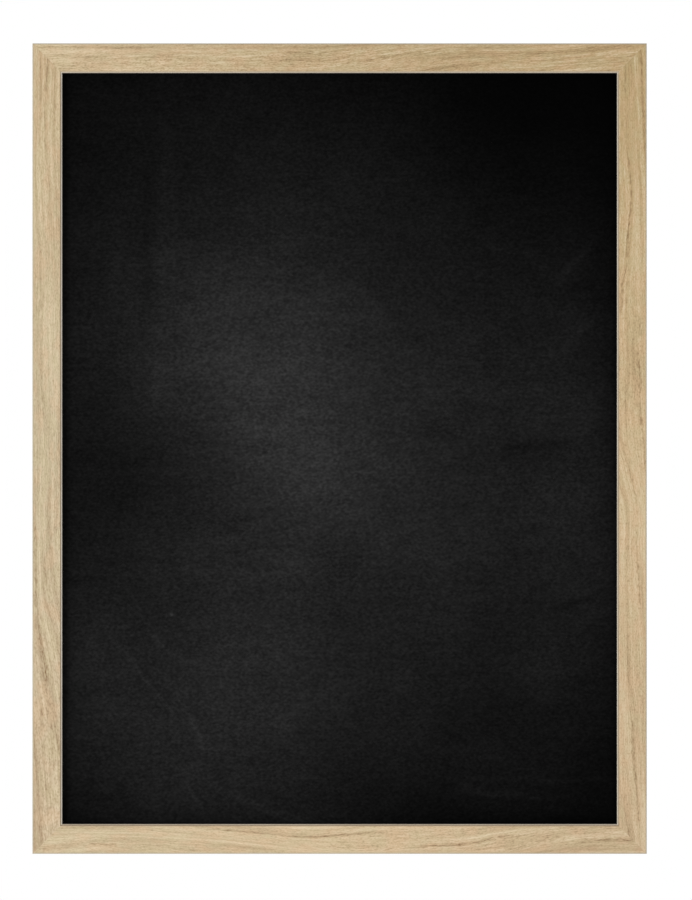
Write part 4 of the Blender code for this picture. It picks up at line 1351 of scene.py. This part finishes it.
def foot_shape():
    """A profile turned about its axis: out along the dish, over the round edge and down the tapered wall."""
    dish = np.linspace(0.02, 1, 9)
    dish_radius, dish_height = DISH_RADIUS * dish, FOOT_HEIGHT - DISH_DEPTH * np.cos(dish * math.pi / 2) ** 2
    turn = np.radians(np.linspace(90, 0, 10))
    edge_radius = FOOT_RADIUS - FOOT_TAPER - FOOT_EDGE * (1 - np.cos(turn))
    edge_height = FOOT_HEIGHT - FOOT_EDGE * (1 - np.sin(turn))
    base_radius, base_height = np.array(FOOT_BASE).T
    radius = np.concatenate([dish_radius, edge_radius, base_radius])[:, None]
    height = np.concatenate([dish_height, edge_height, base_height])[:, None]
    angle = np.linspace(0, 2 * math.pi, 64, endpoint=False)[None, :]
    points = np.stack(np.broadcast_arrays(radius * np.cos(angle), height, radius * np.sin(angle)), axis=-1)
    return points, closed_rings(*points.shape[:2])


def rubber_finish():
    """Black rubber with a fine moulded grain, greyed a little by patches of dust."""
    finish, start = new_finish("black_rubber", Specular_IOR_Level=0.35)
    x, y, z = start.place()
    grain = start.noise(x / 0.25, y / 0.25, z / 0.25, 2.0)
    dust = start.noise(x / 2.5, y / 2.5, z / 2.5, 3.0).step(0.45, 0.8)
    colour = (dust * 0.5).mix(*RUBBER_COLOURS)
    return finished(finish, colour, 0.68 + 0.2 * dust + 0.1 * grain, grain, RUBBER_GRAIN_DEPTH)


rubber = rubber_finish()
foot_points, foot_faces = foot_shape()
for hand in HANDS:
    low, middle, _ = node_box(f"{hand}_wall_bumper")
    points = foot_points + np.array([middle[0], low[1], middle[2]])
    foot = make(f"{hand}_wall_foot", points, foot_faces, [rubber])
    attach(foot, "chalkboard")
    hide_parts(f"{hand}_wall_bumper")


# Floor
# A plain pale floor, about a metre below the board, which hangs at the height of the eyes.
# It fades into the white round it.

FLOOR_Z = -1.6
FLOOR_RADIUS = 2.6
FLOOR_RINGS = 12
FLOOR_STEPS = 96
FLOOR_COLOUR = (245, 245, 245)


def floor_finish():
    """Matt and pale. Where the camera sees it, it turns with distance into a plain white glow."""
    finish = bpy.data.materials.new("pale_floor")
    finish.use_nodes = True
    tree = finish.node_tree
    tree.nodes.remove(tree.nodes["Principled BSDF"])
    start = Shade(tree)
    x, y, _ = start.place()
    away = start.math("SQRT", x * x + y * y) / (1000 * FLOOR_RADIUS)
    seen = start.node("LightPath", output="Is Camera Ray")
    matt = start.node("BsdfDiffuse", None, {"Color": linear(FLOOR_COLOUR)})
    white = start.node("Emission", None, {"Color": (1, 1, 1, 1), "Strength": 1.0})
    whiteness = (away.step(0.2, 0.9) * 0.6 + 0.4) * seen
    faded = start.node("MixShader", None, {0: whiteness, 1: matt, 2: white})
    faded.feed(tree.nodes["Material Output"].inputs["Surface"])
    return finish


radius = np.linspace(0.001, FLOOR_RADIUS, FLOOR_RINGS)[:, None]
angle = np.linspace(0, 2 * math.pi, FLOOR_STEPS, endpoint=False)[None, :]
points = np.stack(np.broadcast_arrays(radius * np.cos(angle), radius * np.sin(angle), FLOOR_Z), axis=-1)
floor_faces = quads(FLOOR_RINGS, FLOOR_STEPS, close_columns=True).tolist() + [list(range(FLOOR_STEPS))]
floor = make("floor", points, floor_faces, [floor_finish()])


# Studio
# An even white room and four wide soft lamps. The main one stands at the lower left, as the frame's shading
# shows, and two behind the board light its back.

ROOM_LIGHT = 0.50
LAMPS = {
    "main": {"at": (-2.0, -1.6, -0.5), "size": 1.2, "power": 30.0},
    "fill": {"at": (1.6, -2.0, -0.1), "size": 1.4, "power": 11.0},
    "back_left": {"at": (-1.4, 1.9, 0.7), "size": 1.2, "power": 26.0},
    "back_right": {"at": (1.5, 1.8, 0.3), "size": 1.2, "power": 20.0},
}
AIM = np.array([0.0, -0.015, MIDDLE_Z])

world = bpy.context.scene.world or bpy.data.worlds.new("room")
bpy.context.scene.world = world
world.use_nodes = True
tree = world.node_tree
tree.nodes.clear()
start = Shade(tree)
path = start.node("LightPath", output="Is Camera Ray")
mirrored = start.math("MAXIMUM", path.other("Is Glossy Ray"), path.other("Is Transmission Ray"))
seen = start.math("MAXIMUM", path, mirrored)
brightness = ROOM_LIGHT + (1 - ROOM_LIGHT) * seen
room = start.node("Background", None, {"Color": (1, 1, 1, 1), "Strength": brightness})
room.feed(tree.nodes.new("ShaderNodeOutputWorld").inputs["Surface"])


def turn_towards(target, here):
    """The Euler angles of a lamp that stands here and points at the target, level from side to side."""
    away = np.array(target) - np.array(here)
    flat = math.hypot(away[0], away[1])
    return (math.pi / 2 + math.atan2(away[2], flat), 0.0, math.atan2(-away[0], away[1]))


for name, lamp in LAMPS.items():
    data = bpy.data.lights.new(f"{name}_lamp", "AREA")
    data.size = lamp["size"]
    data.energy = lamp["power"]
    made = bpy.data.objects.new(f"{name}_lamp", data)
    made.location = lamp["at"]
    made.rotation_euler = turn_towards(AIM, lamp["at"])
    made.visible_camera = False
    bpy.context.scene.collection.objects.link(made)


# Camera
# Level and square on to the board, eight metres away. The picture is about 0.9 m high at the frame's face,
# and the board hangs a little left of its middle, as in the photograph.

CAMERA_X = 0.0064
CAMERA_Z = -0.2064
DISTANCE = 8.0
PICTURE_HEIGHT = 0.8995
SENSOR = 36.0

camera_data = bpy.data.cameras.new("camera")
camera_data.sensor_width = SENSOR
camera_data.lens = SENSOR * DISTANCE / PICTURE_HEIGHT
camera = bpy.data.objects.new("camera", camera_data)
camera.location = (CAMERA_X, FRONT - DISTANCE, CAMERA_Z)
camera.rotation_euler = (math.pi / 2, 0, 0)
bpy.context.scene.collection.objects.link(camera)
bpy.context.scene.camera = camera
bpy.context.scene.view_settings.view_transform = "Standard"

bpy.context.view_layer.update()
